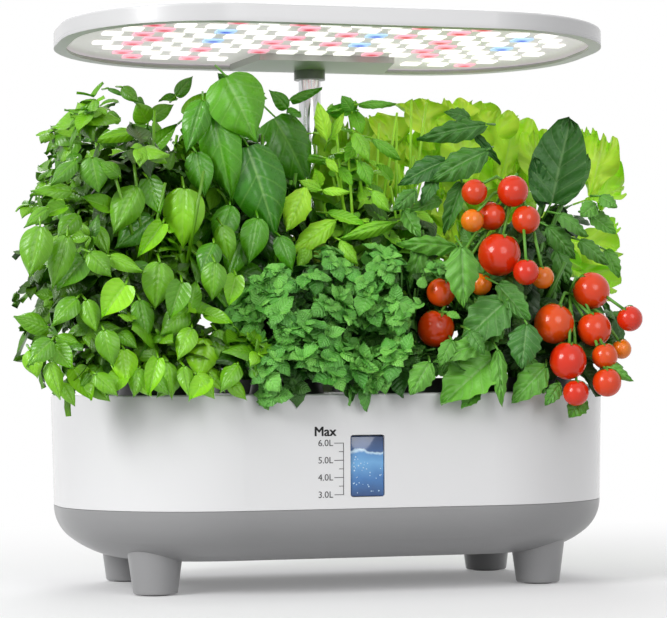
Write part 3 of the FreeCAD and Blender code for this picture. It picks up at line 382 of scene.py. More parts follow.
GAUGE_X, GAUGE_LOW, GAUGE_HIGH, LINE = -0.0197, 0.0686, 0.1034, 0.00042
LITRE_MARK, HALF_MARK, NUMBER_HEIGHT, NUMBER_GAP = 0.0066, 0.0033, 0.0062, 0.0074
gauge_mesh = bmesh.new()


def stroke(low_x, high_x, low_z, high_z):
    middle = Matrix.Translation(((low_x + high_x) / 2, 0, (low_z + high_z) / 2))
    sizes = Matrix.Diagonal((high_x - low_x, 2 * PRINT_THICK, high_z - low_z, 1))
    bmesh.ops.create_cube(gauge_mesh, size=1, matrix=middle @ sizes)


stroke(GAUGE_X - LINE, GAUGE_X, GAUGE_LOW, GAUGE_HIGH + LINE)
for k in range(7):
    z = GAUGE_LOW + (GAUGE_HIGH - GAUGE_LOW) * k / 6
    stroke(GAUGE_X - (HALF_MARK if k % 2 else LITRE_MARK), GAUGE_X, z, z + LINE)
print_on_wall(object_from("gauge_marks", gauge_mesh, smooth=False))
for k, words in enumerate(("3.0L", "4.0L", "5.0L", "6.0L")):
    z = GAUGE_LOW + (GAUGE_HIGH - GAUGE_LOW) * k / 3
    lettering("gauge_%d" % (k + 3), words, NUMBER_HEIGHT, GAUGE_X - NUMBER_GAP, z + LINE / 2)

# the top word is bold: six copies, each a hair from the next
MAX_HEIGHT, MAX_LEFT, MAX_UP, BOLD = 0.0090, 0.0055, 0.0078, 0.00022
for k, (across, rise) in enumerate(((0, 0), (1, 0), (2, 0), (0, 1), (1, 1), (2, 1))):
    lettering("gauge_max_%d" % k, "Max", MAX_HEIGHT, GAUGE_X - MAX_LEFT + across * BOLD,
              GAUGE_HIGH + MAX_UP + rise * BOLD)


# Grow baskets
# Black slotted net cups of moulded plastic, one dropped into each of the deck's twelve holes.
finish("grow_baskets", moulded("basket_black", (0.022, 0.022, 0.024), 0.42, relief=0.15))


# Grow sponges
# Twelve tapered plugs of dark peat foam, torn a little rough on top, one pressed into each basket.
POD_X, POD_Y, POD_Z = (-0.138, -0.046, 0.046, 0.138), (-0.064, 0.0, 0.064), 0.1454
PLUG_TOP, PLUG_TIP, PLUG_LOW, PLUG_HIGH, PLUG_SIDES = 0.0205, 0.0172, 0.1114, 0.1448, 28
RINGS, RING_WIDE = 4, 0.004
plugs = bmesh.new()
torn = random.Random(40)
for x in POD_X:
    for y in POD_Y:
        middle = Matrix.Translation((x, y, (PLUG_LOW + PLUG_HIGH) / 2))
        made = bmesh.ops.create_cone(plugs, cap_ends=True, segments=PLUG_SIDES, radius1=PLUG_TIP,
                                     radius2=PLUG_TOP, depth=PLUG_HIGH - PLUG_LOW, matrix=middle)
        top = max({face for vertex in made["verts"] for face in vertex.link_faces},
                  key=lambda face: face.calc_center_median().z)
        for ring in range(RINGS):
            bmesh.ops.inset_region(plugs, faces=[top], thickness=RING_WIDE)
            for vertex in top.verts:
                vertex.co.z = PLUG_HIGH + torn.uniform(-0.0008, 0.0005)
plug_foam = moulded("plug_foam", (0.055, 0.036, 0.022), 0.95, grain=420.0, relief=0.9, shade=0.4)
plug_piece = object_from("foam_plugs", plugs)
plug_piece.data.materials.append(plug_foam)
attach(plug_piece, "deck")
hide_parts("grow_sponges")


# Pump hung under the deck
# Black moulded case, strainer and spout on a strap, with a grey magnetic rotor inside.
pump_black = moulded("pump_black", (0.03, 0.03, 0.033), 0.4, relief=0.12)
for node in ("pump_body", "pump_strainer", "pump_spout", "pump_bracket"):
    finish(node, pump_black)
finish("pump_rotor", moulded("rotor_grey", (0.16, 0.16, 0.17), 0.4))


# Telescoping pole
# Two drawn tubes, polished so that they mirror the lit panel, with a grey bush at the joint.
polished = moulded("polished_tube", (0.72, 0.73, 0.75), 0.13, grain=300.0, relief=0.02, metal=0.85, shade=0.9)
finish("pole_outer", polished)
finish("pole_inner", polished)
finish("pole_bush", moulded("bush_grey", (0.30, 0.30, 0.31), 0.4))


# Lamp head
# A thin white shell with a grey ring round its face, a pale board with a painted glow set into it, and the
# pole's cover.
# The tiles are lit: warm white, with red and a few blue ones, each brightest at its chip.
finish("lamp_housing", moulded("lamp_white", (0.76, 0.76, 0.77), 0.25, relief=0.03, shade=0.97, coat=0.2))
finish("lamp_bezel", moulded("bezel_grey", (0.74, 0.74, 0.75), 0.30, relief=0.05))
finish("mount_cover", moulded("cover_grey", (0.78, 0.78, 0.79), 0.35, relief=0.05))
finish("lamp_collar", moulded("collar_grey", (0.33, 0.33, 0.34), 0.3, relief=0.05))
board_painted_glow = moulded("board_white", (0.80, 0.78, 0.79), 0.3, relief=0.03)
# painted glow: the board's weak emission stands in for light from its tiles
wire(board_painted_glow.node_tree.nodes["Principled BSDF"], Emission_Color=(1.0, 0.93, 0.95), Emission_Strength=0.30)
finish("led_board", board_painted_glow)
finish("lamp_driver", pump_black)
finish("button_switches", pump_black)
button_grey = moulded("button_grey", (0.42, 0.42, 0.43), 0.35)
finish("power_button", button_grey)
finish("mode_button", button_grey)


def tile_centres(node):
    """Middle of each lit tile of a CAD group, from the corners on its underside."""
    mesh = nodes[node].data
    lowest = min(v.co.z for v in mesh.vertices)
    corners = sorted({(round(v.co.x, 5), round(v.co.y, 5))
                      for v in mesh.vertices if v.co.z < lowest + 0.0002})
    middles = []
    for x, y in corners:
        if (round(x + TILE_LENGTH, 5), y) in corners and (x, round(y + TILE_WIDTH, 5)) in corners:
            middles.append((x + TILE_LENGTH / 2, y + TILE_WIDTH / 2))
    return middles, lowest


TILE_LENGTH, TILE_WIDTH, TILE_DROP = 0.0136, 0.014, 0.0012


def lit_paint(name, core, halo, strength):
    """A tile that glows core-coloured at its middle and halo-coloured towards its rim."""
    material, tree, skin = new_paint(name)
    shift = add_node(tree, "VectorMath", operation="SUBTRACT")
    shift.inputs[1].default_value = (0.5, 0.5, 0)
    feed(shift.inputs[0], add_node(tree, "UVMap").outputs["UV"])
    length = add_node(tree, "VectorMath", operation="LENGTH")
    feed(length.inputs[0], shift.outputs[0])
    colour = two_tone(tree, span(tree, length.outputs["Value"], 0.0, 1.0, 0.16, 0.46), core, halo)
    wire(skin, Base_Color=colour, Emission_Color=colour, Emission_Strength=strength, Roughness=0.35)
    return material


tile_mesh = bmesh.new()
bmesh.ops.create_cube(tile_mesh, size=1, matrix=Matrix.Diagonal((TILE_LENGTH, TILE_WIDTH, TILE_DROP, 1)))
bmesh.ops.bevel(tile_mesh, geom=tile_mesh.edges[:], offset=0.0005, segments=2, affect="EDGES",
                profile=0.5, material=-1)
tile_uv = tile_mesh.loops.layers.uv.verify()
for face in tile_mesh.faces:
    for loop in face.loops:
        loop[tile_uv].uv = (loop.vert.co.x / TILE_LENGTH + 0.5, loop.vert.co.y / TILE_WIDTH + 0.5)
tile = bpy.data.meshes.new("tile")
tile_mesh.to_mesh(tile)
tile_mesh.free()


def lit_tiles(node, material):
    """Soft-edged tiles in place of a CAD group of flat ones."""
    middles, lowest = tile_centres(node)
    bm = bmesh.new()
    for x, y in middles:
        before = len(bm.verts)
        bm.from_mesh(tile)
        bm.verts.ensure_lookup_table()
        bmesh.ops.translate(bm, vec=(x, y, lowest + TILE_DROP / 2), verts=bm.verts[before:])
    piece = object_from(node + "_lit", bm)
    piece.data.materials.append(material)
    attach(piece, "lamp")
    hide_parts(node)


lit_tiles("white_leds", lit_paint("lit_white", (1.0, 0.99, 0.96), (1.0, 0.97, 0.93), 1.0))
lit_tiles("red_leds", lit_paint("lit_red", (0.70, 0.005, 0.06), (1.0, 0.45, 0.56), 0.85))
lit_tiles("blue_leds", lit_paint("lit_blue", (0.01, 0.08, 0.75), (0.45, 0.68, 1.0), 0.85))


# Leaves
# Every plant is real blades on thin stalks: a fine grid bent to its habit, with a midrib groove,
# quilted halves and a smooth, toothed, lobed or frilled edge. A few shapes a plant, turned and tinted,
# with painted shade on the leaves deep inside a plant and painted light on the outer ones.

def blade_outline(habit, v, side, along):
    """Half width of a blade, as a share, at a share v of its length."""
    if habit == "frill":
        return (0.14 + 0.86 * min(1, v * 1.5) ** 0.9) * math.cos(max(0, v - 0.5) * 2.1)
    if habit == "lance":
        share = math.sin(math.pi * min(1, 0.02 + v * 0.98) ** 0.85) ** 0.9
    elif habit == "lobed":
        share = math.sin(math.pi * min(1, 0.03 + v * 0.97) ** 0.72) ** 0.8
        share *= 0.90 + 0.08 * math.sin(v * 27 + 1)
    elif habit == "round":
        share = math.sin(math.pi * min(1, 0.05 + v * 0.95) ** 0.80) ** 0.55
    else:
        share = math.sin(math.pi * min(1, 0.03 + v * 0.97) ** 0.68) ** (0.52 + 0.55 * v)
    if habit in ("toothed", "lance") and side > 0.9:
        share *= 1.06 if round(v * along) % 2 else 0.95
    return share


def blade(habit, wide, bend, fold, quilt, seed, fine=1):
    """One blade 1 long from its stalk end at the origin, along +Y, face up."""
    across, along = {"frill": (26, 28), "lobed": (8, 10)}.get(habit, (6, 8))
    across, along = across * fine, along * fine
    bm = bmesh.new()
    bm.loops.layers.uv.verify()
    bmesh.ops.create_grid(bm, x_segments=across, y_segments=along, size=0.5, calc_uvs=True)
    phase = random.Random(seed).uniform(0, 6.28)
    for vertex in bm.verts:
        u, v = vertex.co.x * 2, vertex.co.y + 0.5
        side = abs(u)
        x = u * blade_outline(habit, v, side, 8) * wide / 2
        z = wide * (fold * side ** 2 - 0.05 * math.exp(-(side / 0.14) ** 2))
        z += quilt * wide * math.sin(v * 30 - side * 8) * side * (1.15 - side) * 1.6
        z += 0.03 * math.sin(v * 5 + phase) * u
        if habit == "frill":
            rim = max(side ** 2, max(0, (v - 0.5) * 2) ** 1.5)
            turn = math.atan2(u, v - 0.35)
            z += wide * rim * (0.12 * math.sin(turn * 5 + phase) + 0.10 * math.sin(turn * 13 + phase * 2))
            x *= 1 + 0.05 * rim * math.sin(turn * 13 + phase)
            v += rim * (0.035 * math.sin(turn * 7 + phase) + 0.015 * math.sin(turn * 13))
        angle = -bend * v
        reach, drop = math.sin(bend * v) / bend, (math.cos(bend * v) - 1) / bend
        vertex.co = Vector((x, reach - z * math.sin(angle), drop + z * math.cos(angle)))
    bm.verts.layers.float_color.new("tint")
    mesh = bpy.data.meshes.new("blade")
    bm.to_mesh(mesh)
    bm.free()
    return mesh


def blade_set(habit, wide, quilt, bends, fine=1, seed=0):
    """A few blades of one habit that differ in bend and fold."""
    return [blade(habit, wide, bend, fold, quilt, seed + k, fine) for k, (bend, fold) in enumerate(bends)]


def new_plant():
    """Two empty meshes: one takes the blades, the other the stalks."""
    leaves, wood = bmesh.new(), bmesh.new()
    for bm in (leaves, wood):
        bm.loops.layers.uv.verify()
        bm.verts.layers.float_color.new("tint")
    return leaves, wood


def add_leaf(plant, mesh, matrix, tone, light):
    """Copy a blade into a plant. Tone goes from its deep to its fresh green, light from inside out: painted
    shade inside the plant, painted light outside.
    """
    copy = mesh.copy()
    copy.transform(matrix)
    copy.attributes["tint"].data.foreach_set("color", (tone, light, 0, 1) * len(copy.vertices))
    plant[0].from_mesh(copy)
    bpy.data.meshes.remove(copy)


def leaf_turn(outward, normal, roll=0.0):
    """Turn that lays a blade's length along outward with its face towards normal."""
    y = outward.normalized()
    x = y.cross(normal).normalized()
    return Matrix((x, y, x.cross(y))).transposed().to_4x4() @ Matrix.Rotation(roll, 4, "Y")


def jitter(reach):
    return Vector([random.uniform(-reach, reach) for axis in range(3)])


def stalk(plant, points, radius, tip=0.6, sides=6, tone=0.6, light=0.6):
    """A thin tapering stalk through a few points, as joined cones."""
    wood = plant[1]
    tint = wood.verts.layers.float_color["tint"]
    steps = len(points) - 1
    for k in range(steps):
        a, b = Vector(points[k]), Vector(points[k + 1])
        low, high = (radius * (1 - (1 - tip) * n / steps) for n in (k, k + 1))
        place = Matrix.Translation((a + b) / 2) @ (b - a).to_track_quat("Z", "Y").to_matrix().to_4x4()
        made = bmesh.ops.create_cone(wood, cap_ends=True, segments=sides, radius1=low, radius2=high,
                                     depth=(b - a).length * 1.03, matrix=place)
        for vertex in made["verts"]:
            vertex[tint] = (tone, light, 0, 1)


def end_plant(name, plant, material, node):
    """Join blades and stalks into one piece that stands for its CAD crown."""
    leaves, wood = plant
    mesh = bpy.data.meshes.new(name)
    wood.to_mesh(mesh)
    wood.free()
    leaves.from_mesh(mesh)
    piece = object_from(name, leaves)
    piece.data.materials.append(material)
    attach(piece, "deck")
    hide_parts(node)


vein_group, vein_in, vein_out = new_group("leaf_veins", [("Count", 9.0), ("Slant", 0.55)], ["Vein", "Quilt"])


# midrib and slanting side veins from the blade's own UV map
split = add_node(vein_group, "SeparateXYZ")
feed(split.inputs[0], add_node(vein_group, "UVMap").outputs["UV"])
off_middle = maths(vein_group, "ABSOLUTE", maths(vein_group, "SUBTRACT", split.outputs["X"], 0.5))
midrib = span(vein_group, off_middle, 1.0, 0.0, 0.006, 0.035)
slant = maths(vein_group, "SUBTRACT", split.outputs["Y"],
              maths(vein_group, "MULTIPLY", off_middle, vein_in.outputs["Slant"]))
saw = maths(vein_group, "FRACT", maths(vein_group, "MULTIPLY", slant, vein_in.outputs["Count"]))
from_vein = maths(vein_group, "ABSOLUTE", maths(vein_group, "SUBTRACT", saw, 0.5))
branch = span(vein_group, from_vein, 0.5, 0.0, 0.015, 0.09)
wire(vein_out, Vein=maths(vein_group, "MAXIMUM", midrib, branch),
     Quilt=maths(vein_group, "POWER", from_vein, 0.5))


def tint_of(tree):
    """A blade's tone and painted light, as add_leaf and stalk left them."""
    parts = add_node(tree, "SeparateColor")
    feed(parts.inputs[0], add_node(tree, "Attribute", attribute_name="tint").outputs["Color"])
    return parts.outputs["Red"], parts.outputs["Green"]


LEAF_CLOUDS = (0.72, 0.78, 0.7), (1.28, 1.22, 1.2)
# painted shade: each leaf's light value darkens its green inside the plant and brightens it outside
LEAF_PAINTED_SHADE = (0.16, 0.20, 0.14), (1.15, 1.15, 1.1)


def leaf_paint(name, deep, fresh, vein, rough=0.34, count=7.0, relief=0.3, vein_share=0.4, crinkle=0.0):
    """Leaf surface: its tone from leaf to leaf, painted shade from each leaf's light, paler veins that fade in
    that shade, quilted relief, waxy gloss.
    """
    material, tree, skin = new_paint(name)
    tone, light = tint_of(tree)
    veins = add_node(tree, "Group", node_tree=vein_group)
    wire(veins, Count=count)
    clouds = two_tone(tree, noise_in(tree, 90.0, 4.0), *LEAF_CLOUDS)
    colour = two_tone(tree, 1.0, two_tone(tree, tone, deep, fresh), clouds, "MULTIPLY")
    colour = two_tone(tree, 1.0, colour, two_tone(tree, light, *LEAF_PAINTED_SHADE), "MULTIPLY")
    ribs = maths(tree, "MULTIPLY", span(tree, veins.outputs["Vein"], 0.0, vein_share), light)
    height = veins.outputs["Quilt"]
    if crinkle:
        height = maths(tree, "ADD", height, maths(tree, "MULTIPLY", noise_in(tree, 900.0, 3.0), crinkle))
    wire(skin, Base_Color=two_tone(tree, ribs, colour, vein),
         Roughness=span(tree, noise_in(tree, 300.0, 2.0), rough * 0.75, rough * 1.3),
         Normal=bump(tree, height, relief, 0.0008), Subsurface_Weight=0.12,
         Subsurface_Radius=(0.003, 0.005, 0.001), Subsurface_Scale=0.4)
    return material


# Tomato fruits, found first so that no leaf hides them
# Twenty fruits on two trusses, each with a star of green sepals on a bent stalk.

def islands(mesh):
    """Low and high corner of each separate solid of a CAD group."""
    cells = bmesh.new()
    cells.from_mesh(mesh)
    bmesh.ops.remove_doubles(cells, verts=cells.verts, dist=1e-6)
    seen, boxes = set(), []
    for vertex in cells.verts:
        if vertex in seen:
            continue
        seen.add(vertex)
        stack, found = [vertex], []
        while stack:
            one = stack.pop()
            found.append(one.co.copy())
            fresh = {edge.other_vert(one) for edge in one.link_edges} - seen
            seen |= fresh
            stack.extend(fresh)
        boxes.append([Vector([pick(c[axis] for c in found) for axis in range(3)]) for pick in (min, max)])
    cells.free()
    return boxes


FRUITS = sorted((((low + high) / 2, (high.z - low.z) / 2) for low, high in islands(nodes["tomatoes"].data)),
                key=lambda fruit: (round(fruit[0].x, 4), round(fruit[0].z, 4)))


def to_pixel(point):
    ray = point - eye
    away = -ray.dot(back)
    return (FRAME_WIDTH / 2 + FOCAL_PIXELS * ray.dot(right) / away,
            FRAME_HEIGHT / 2 - FOCAL_PIXELS * ray.dot(up) / away)


FRUIT_PIXELS = [(to_pixel(middle), radius * FOCAL_PIXELS / DISTANCE, middle.y) for middle, radius in FRUITS]
FRUIT_CLEAR, FRUIT_FRONT, LEAF_FRONT = 7, 0.01, 0.008
SHOWN = []


def hides(point):
    """Whether a leaf here would cover a fruit, or a leaf that the picture shows whole."""
    x, y = to_pixel(point)
    if any(point.y < back_y + FRUIT_FRONT and math.hypot(x - px, y - py) < reach + FRUIT_CLEAR
           for (px, py), reach, back_y in FRUIT_PIXELS):
        return True
    for (ax, ay), (bx, by), half, back_y in SHOWN:
        if point.y > back_y + LEAF_FRONT:
            continue
        share = ((x - ax) * (bx - ax) + (y - ay) * (by - ay)) / ((bx - ax) ** 2 + (by - ay) ** 2)
        share = min(1, max(0, share))
        if math.hypot(x - ax - share * (bx - ax), y - ay - share * (by - ay)) < half:
            return True
    return False


# The leaves that the picture shows whole
# Each list starts with its distance back from the planter's middle. A leaf has its start and tip in
# pixels, then its width as a percentage of its length, and its tone from deep (0) to fresh (100).
BASIL_FRONT = (-0.128, [
    (40, 226, 28, 275, 62, 45), (67, 236, 50, 288, 45, 40), (84, 258, 57, 288, 68, 25),
    (90, 252, 116, 272, 70, 40), (110, 256, 144, 268, 50, 55), (160, 262, 157, 309, 66, 45),
    (126, 284, 102, 316, 72, 95), (77, 298, 48, 318, 62, 35), (48, 327, 18, 313, 60, 40),
    (52, 340, 26, 362, 62, 30), (54, 345, 72, 368, 70, 40), (56, 336, 82, 340, 50, 45),
    (50, 362, 62, 398, 48, 60), (62, 383, 74, 405, 50, 55), (74, 368, 92, 399, 70, 75),
    (104, 330, 110, 368, 62, 40), (124, 349, 128, 382, 80, 90), (118, 330, 138, 346, 55, 35),
    (158, 358, 148, 395, 46, 75), (167, 362, 172, 400, 46, 55), (204, 338, 198, 377, 80, 100),
    (192, 328, 176, 356, 58, 60), (205, 313, 232, 322, 55, 60), (207, 368, 226, 392, 46, 80),
    (184, 366, 190, 393, 55, 55), (140, 368, 132, 394, 60, 50), (236, 275, 229, 305, 60, 60),
    (30, 350, 34, 377, 70, 65), (86, 300, 96, 330, 60, 50), (140, 300, 150, 340, 55, 30),
    (182, 282, 170, 318, 60, 30), (215, 262, 212, 300, 62, 35), (216, 330, 222, 362, 60, 45),
    (96, 374, 119, 393, 60, 50), (124, 372, 106, 395, 62, 60), (178, 372, 158, 395, 60, 45),
    (196, 374, 215, 397, 62, 70), (148, 370, 171, 392, 60, 35), (220, 372, 243, 393, 55, 50),
    (238, 364, 217, 386, 60, 40), (133, 372, 151, 396, 55, 65), (88, 380, 111, 399, 60, 55),
    (208, 378, 189, 399, 60, 85), (228, 380, 247, 400, 50, 60), (100, 364, 80, 384, 60, 35),
])
BASIL_HIGH = (-0.095, [
    (75, 160, 50, 180, 50, 25), (72, 190, 34, 182, 42, 45), (112, 208, 83, 196, 50, 45),
    (92, 157, 100, 192, 75, 25), (136, 186, 113, 231, 60, 40), (152, 216, 114, 244, 60, 12),
    (163, 223, 138, 256, 42, 70), (184, 188, 178, 250, 66, 72), (78, 214, 58, 234, 65, 40),
    (48, 208, 24, 222, 42, 40), (66, 206, 36, 216, 40, 50), (222, 225, 228, 265, 50, 40),
    (214, 243, 200, 270, 70, 15), (96, 226, 108, 254, 50, 45), (148, 178, 160, 214, 62, 25),
    (120, 176, 104, 160, 60, 30),
])
THAI_HIGH = (0.060, [
    (122, 87, 138, 100, 60, 30), (176, 96, 191, 75, 55, 20), (176, 98, 160, 99, 42, 25),
    (136, 131, 90, 131, 34, 55), (148, 123, 138, 104, 90, 50), (150, 118, 172, 102, 62, 40),
    (186, 117, 210, 92, 62, 60), (80, 152, 90, 133, 58, 20), (98, 130, 118, 148, 60, 30),
    (120, 118, 108, 112, 80, 30), (152, 150, 176, 124, 50, 30), (134, 98, 142, 100, 60, 20),
    (66, 154, 54, 153, 50, 25), (108, 88, 124, 92, 30, 15), (160, 140, 150, 165, 60, 25),
])
BROAD_LEAVES = (-0.066, [
    (226, 76, 261, 139, 86, 50), (214, 116, 231, 204, 46, 35), (248, 146, 282, 238, 62, 14),
    (203, 100, 188, 150, 50, 30), (196, 152, 204, 196, 60, 30), (230, 205, 214, 244, 60, 35),
    (258, 218, 250, 262, 60, 40), (280, 236, 296, 268, 60, 30), (240, 240, 228, 276, 60, 40),
])
BROAD_REAR = (0.040, [
    (275, 117, 319, 186, 66, 28), (330, 160, 288, 149, 20, 80), (287, 151, 308, 184, 20, 60),
    (230, 86, 221, 74, 60, 20), (288, 108, 274, 89, 60, 30), (290, 100, 321, 84, 36, 30),
    (300, 112, 290, 108, 80, 25), (212, 100, 232, 76, 50, 35), (268, 132, 284, 150, 60, 20),
])
MINT_LEAVES = (-0.034, [
    (327, 141, 318, 102, 40, 100), (332, 138, 340, 112, 35, 85), (356, 109, 325, 112, 36, 10),
    (358, 104, 397, 99, 28, 15), (352, 112, 345, 98, 70, 10), (354, 112, 362, 132, 60, 25),
    (355, 132, 372, 157, 62, 35), (372, 138, 405, 156, 36, 20), (358, 140, 345, 160, 45, 30),
    (322, 190, 350, 188, 40, 65), (322, 190, 304, 178, 45, 55), (320, 186, 316, 170, 60, 80),
    (306, 186, 286, 228, 55, 95), (336, 220, 288, 246, 40, 75), (328, 213, 364, 222, 38, 40),
    (398, 221, 342, 232, 24, 35), (360, 160, 374, 182, 60, 20), (340, 168, 352, 184, 50, 25),
    (372, 190, 390, 210, 50, 40), (326, 158, 338, 170, 45, 80), (380, 228, 404, 246, 40, 45),
    (340, 240, 360, 262, 50, 50), (310, 244, 300, 266, 50, 40), (392, 180, 380, 164, 50, 30),
])
LETTUCE_LEFT = (0.080, [
    (432, 150, 416, 82, 85, 70), (455, 150, 446, 78, 90, 85), (470, 155, 474, 84, 90, 75),
    (486, 160, 500, 100, 85, 80), (410, 165, 376, 112, 80, 90), (402, 190, 384, 140, 85, 60),
    (500, 185, 520, 114, 85, 75), (510, 205, 532, 140, 80, 65), (440, 190, 420, 130, 90, 70),
    (470, 190, 460, 120, 90, 60), (388, 200, 378, 165, 80, 80), (490, 210, 508, 150, 90, 70),
])
LETTUCE_RIGHT = (0.060, [
    (590, 196, 604, 136, 80, 70), (586, 200, 622, 184, 80, 45), (580, 180, 588, 130, 70, 65),
    (564, 238, 621, 254, 75, 50), (566, 262, 618, 287, 70, 45), (600, 210, 612, 160, 70, 55),
    (540, 190, 536, 132, 80, 60), (590, 240, 616, 222, 70, 35),
])
TOMATO_FRONT = (-0.132, [
    (462, 247, 466, 306, 62, 60), (507, 300, 461, 336, 72, 25), (498, 284, 531, 318, 60, 30),
    (527, 324, 522, 367, 80, 15), (484, 342, 436, 352, 45, 65), (493, 357, 441, 399, 74, 75),
    (498, 350, 504, 406, 32, 60), (546, 366, 514, 399, 62, 55), (582, 397, 571, 416, 90, 40),
    (603, 361, 636, 379, 45, 65), (447, 312, 459, 314, 60, 70), (530, 360, 545, 392, 50, 45),
    (470, 330, 486, 352, 60, 30), (452, 340, 440, 362, 60, 50), (478, 392, 462, 406, 60, 60),
    (430, 362, 412, 392, 70, 60), (560, 384, 548, 402, 60, 35),
])
TOMATO_HIGH = (-0.060, [
    (487, 124, 421, 131, 34, 20), (470, 118, 450, 108, 60, 20), (472, 132, 501, 163, 26, 10),
    (487, 150, 432, 173, 50, 25), (446, 160, 400, 176, 50, 10), (462, 183, 443, 232, 36, 25),
    (457, 246, 402, 236, 36, 60), (424, 240, 405, 292, 34, 55), (440, 200, 412, 208, 50, 45),
    (416, 190, 396, 206, 60, 30), (436, 178, 420, 200, 50, 15), (404, 210, 420, 236, 60, 50),
    (560, 214, 592, 232, 60, 45), (548, 226, 580, 258, 55, 35), (590, 214, 616, 232, 70, 55),
    (580, 240, 612, 262, 55, 40), (556, 250, 570, 284, 60, 30), (606, 250, 620, 276, 60, 60),
    (600, 196, 618, 204, 90, 55), (596, 204, 584, 212, 90, 55), (544, 262, 560, 292, 50, 25),
])
SPINACH_LEAVES = (-0.006, [
    (551, 203, 568, 117, 66, 12), (560, 200, 586, 150, 50, 20), (545, 205, 536, 158, 50, 5),
])

COVERED_SHARE, COVERED_EDGE = 0.36, 3
for depth, leaves in (BASIL_FRONT, BASIL_HIGH, THAI_HIGH, BROAD_LEAVES, BROAD_REAR,
                      MINT_LEAVES, LETTUCE_LEFT, LETTUCE_RIGHT, TOMATO_FRONT,
                      TOMATO_HIGH, SPINACH_LEAVES):
    for ax, ay, bx, by, width, tone in leaves:
        half = COVERED_SHARE * (width / 100) * math.hypot(ax - bx, ay - by) + COVERED_EDGE
        SHOWN.append(((ax, ay), (bx, by), half, depth))


# how far leaves may reach, and what they keep clear of: the pole and the refill flap
REACH_LOW, REACH_HIGH = Vector((-0.219, -0.148, 0.124)), Vector((0.228, 0.148, 0.372))
POLE_AT, POLE_CLEAR = Vector((0.012, 0.097)), 0.016
FLAP_CLEAR_X, FLAP_CLEAR_Y, FLAP_TOP = 0.162, 0.026, 0.172
RIM_X, RIM_Y, SOIL_TOP = 0.202, 0.122, 0.148


def allowed(point, size=0.0):
    """Whether a leaf's point may be here."""
    if not REACH_LOW.x + size < point.x < REACH_HIGH.x - size or abs(point.y) > REACH_HIGH.y - size:
        return False
    if point.z > REACH_HIGH.z - size or point.z < REACH_LOW.z + size:
        return False
    if (Vector((point.x, point.y)) - POLE_AT).length < POLE_CLEAR + size:
        return False
    if point.x > FLAP_CLEAR_X and abs(point.y) < FLAP_CLEAR_Y + size and point.z < FLAP_TOP + size:
        return False
    return point.z > SOIL_TOP or abs(point.x) > RIM_X or abs(point.y) > RIM_Y


def rosette(plant, blades, point, axis, size, tones, light, pairs=3):
    """The leafy end of a shoot: crossed pairs of leaves, large below and small above."""
    axis = axis.normalized()
    side = axis.orthogonal().normalized()
    turn = random.uniform(0, math.pi)
    for k in range(pairs):
        grow = size * (1.0 - 0.27 * k) * random.uniform(0.8, 1.15)
        for half in (0, math.pi):
            spin = turn + k * math.pi / 2 + half + random.uniform(-0.25, 0.25)
            around = Matrix.Rotation(spin, 3, axis) @ side
            outward = around + axis * (0.10 + 0.45 * k) + Vector((0, 0, -0.25)) + jitter(0.15)
            tip = point + outward.normalized() * grow
            if not allowed(tip) or not allowed(point + outward.normalized() * grow * 0.5) or hides(tip):
                continue
            normal = axis + Vector((0, -0.25, 0.45)) + jitter(0.25)
            place = Matrix.Translation(point + axis * grow * 0.12 * k)
            place = place @ leaf_turn(outward, normal, random.uniform(-0.3, 0.3)) @ Matrix.Scale(grow, 4)
            tone = random.uniform(*tones) + 0.10 * k
            add_leaf(plant, random.choice(blades), place, tone, light * random.uniform(0.8, 1.05))


def crown(plant, blades, centre, radii, count, size, tones=(0.15, 0.6), shell=(0.78, 0.98), pairs=3,
          inside=1.3):
    """Shoots over a rounded crown, with a thicker layer of them within it, darkened with painted shade."""
    centre = Vector(centre)
    for k in range(count + int(count * inside)):
        heading = Vector([random.gauss(0, 1) for axis in range(3)]).normalized()
        heading.z = abs(heading.z) if random.random() < 0.35 else heading.z
        deep = k >= count
        depth = random.uniform(*shell) * (random.uniform(0.35, 0.8) if deep else 1.0)
        point = centre + Vector([h * r * depth for h, r in zip(heading, radii)])
        if not allowed(point, size * 0.3) or hides(point):
            continue
        axis = heading * Vector((1, 1, 0.6)) + Vector((0, -0.2, 0.55)) + jitter(0.2)
        # painted light: inner shoots get deep painted shade, outer ones are lighter the more they face up and
        # to the front
        light = 0.12 if deep else 0.55 + 0.45 * max(0, 0.5 * heading.z + 0.5 - 0.3 * heading.y)
        rosette(plant, blades, point, axis, size * random.uniform(0.75, 1.15), tones, light, pairs)


def stems(plant, root, centre, radii, count, radius):
    """Bent stems from a pod to points inside the crown."""
    root = Vector(root)
    for k in range(count):
        tip = Vector(centre) + Vector([random.uniform(low, high) * reach for (low, high), reach in
                                       zip(((-0.6, 0.6), (-0.6, 0.6), (-0.1, 0.75)), radii)])
        foot = root + Vector((random.uniform(-0.009, 0.009), random.uniform(-0.009, 0.009), 0))
        middle = foot.lerp(tip, 0.5) + jitter(0.006) + Vector((0, 0, 0.01))
        stalk(plant, [foot, middle, tip], radius, sides=7)


def shown_leaves(plant, blades, shown, spread=0.008):
    """Blades laid from pixel to pixel of the picture."""
    depth, leaves = shown
    for k, (ax, ay, bx, by, width, tone) in enumerate(leaves):
        layer = spread * (k % 3 - 1)
        a, b = at_pixel(ax, ay, depth + layer), at_pixel(bx, by, depth - 0.010 + layer)
        length = (b - a).length
        face = Vector((random.uniform(-0.45, 0.1), -1.0, random.uniform(0.25, 0.6)))
        shape = Matrix.Diagonal((length * (width / 100), length, length, 1))
        add_leaf(plant, blades[k % len(blades)], Matrix.Translation(a) @ leaf_turn(b - a, face) @ shape,
                 tone / 100, 1.0)
        stalk(plant, [a - (b - a) * 0.2 + Vector((0, 0.012, 0)), a], 0.0009, tip=0.8, light=0.8)


def pod_at(column, row):
    return POD_X[column], POD_Y[row], POD_Z


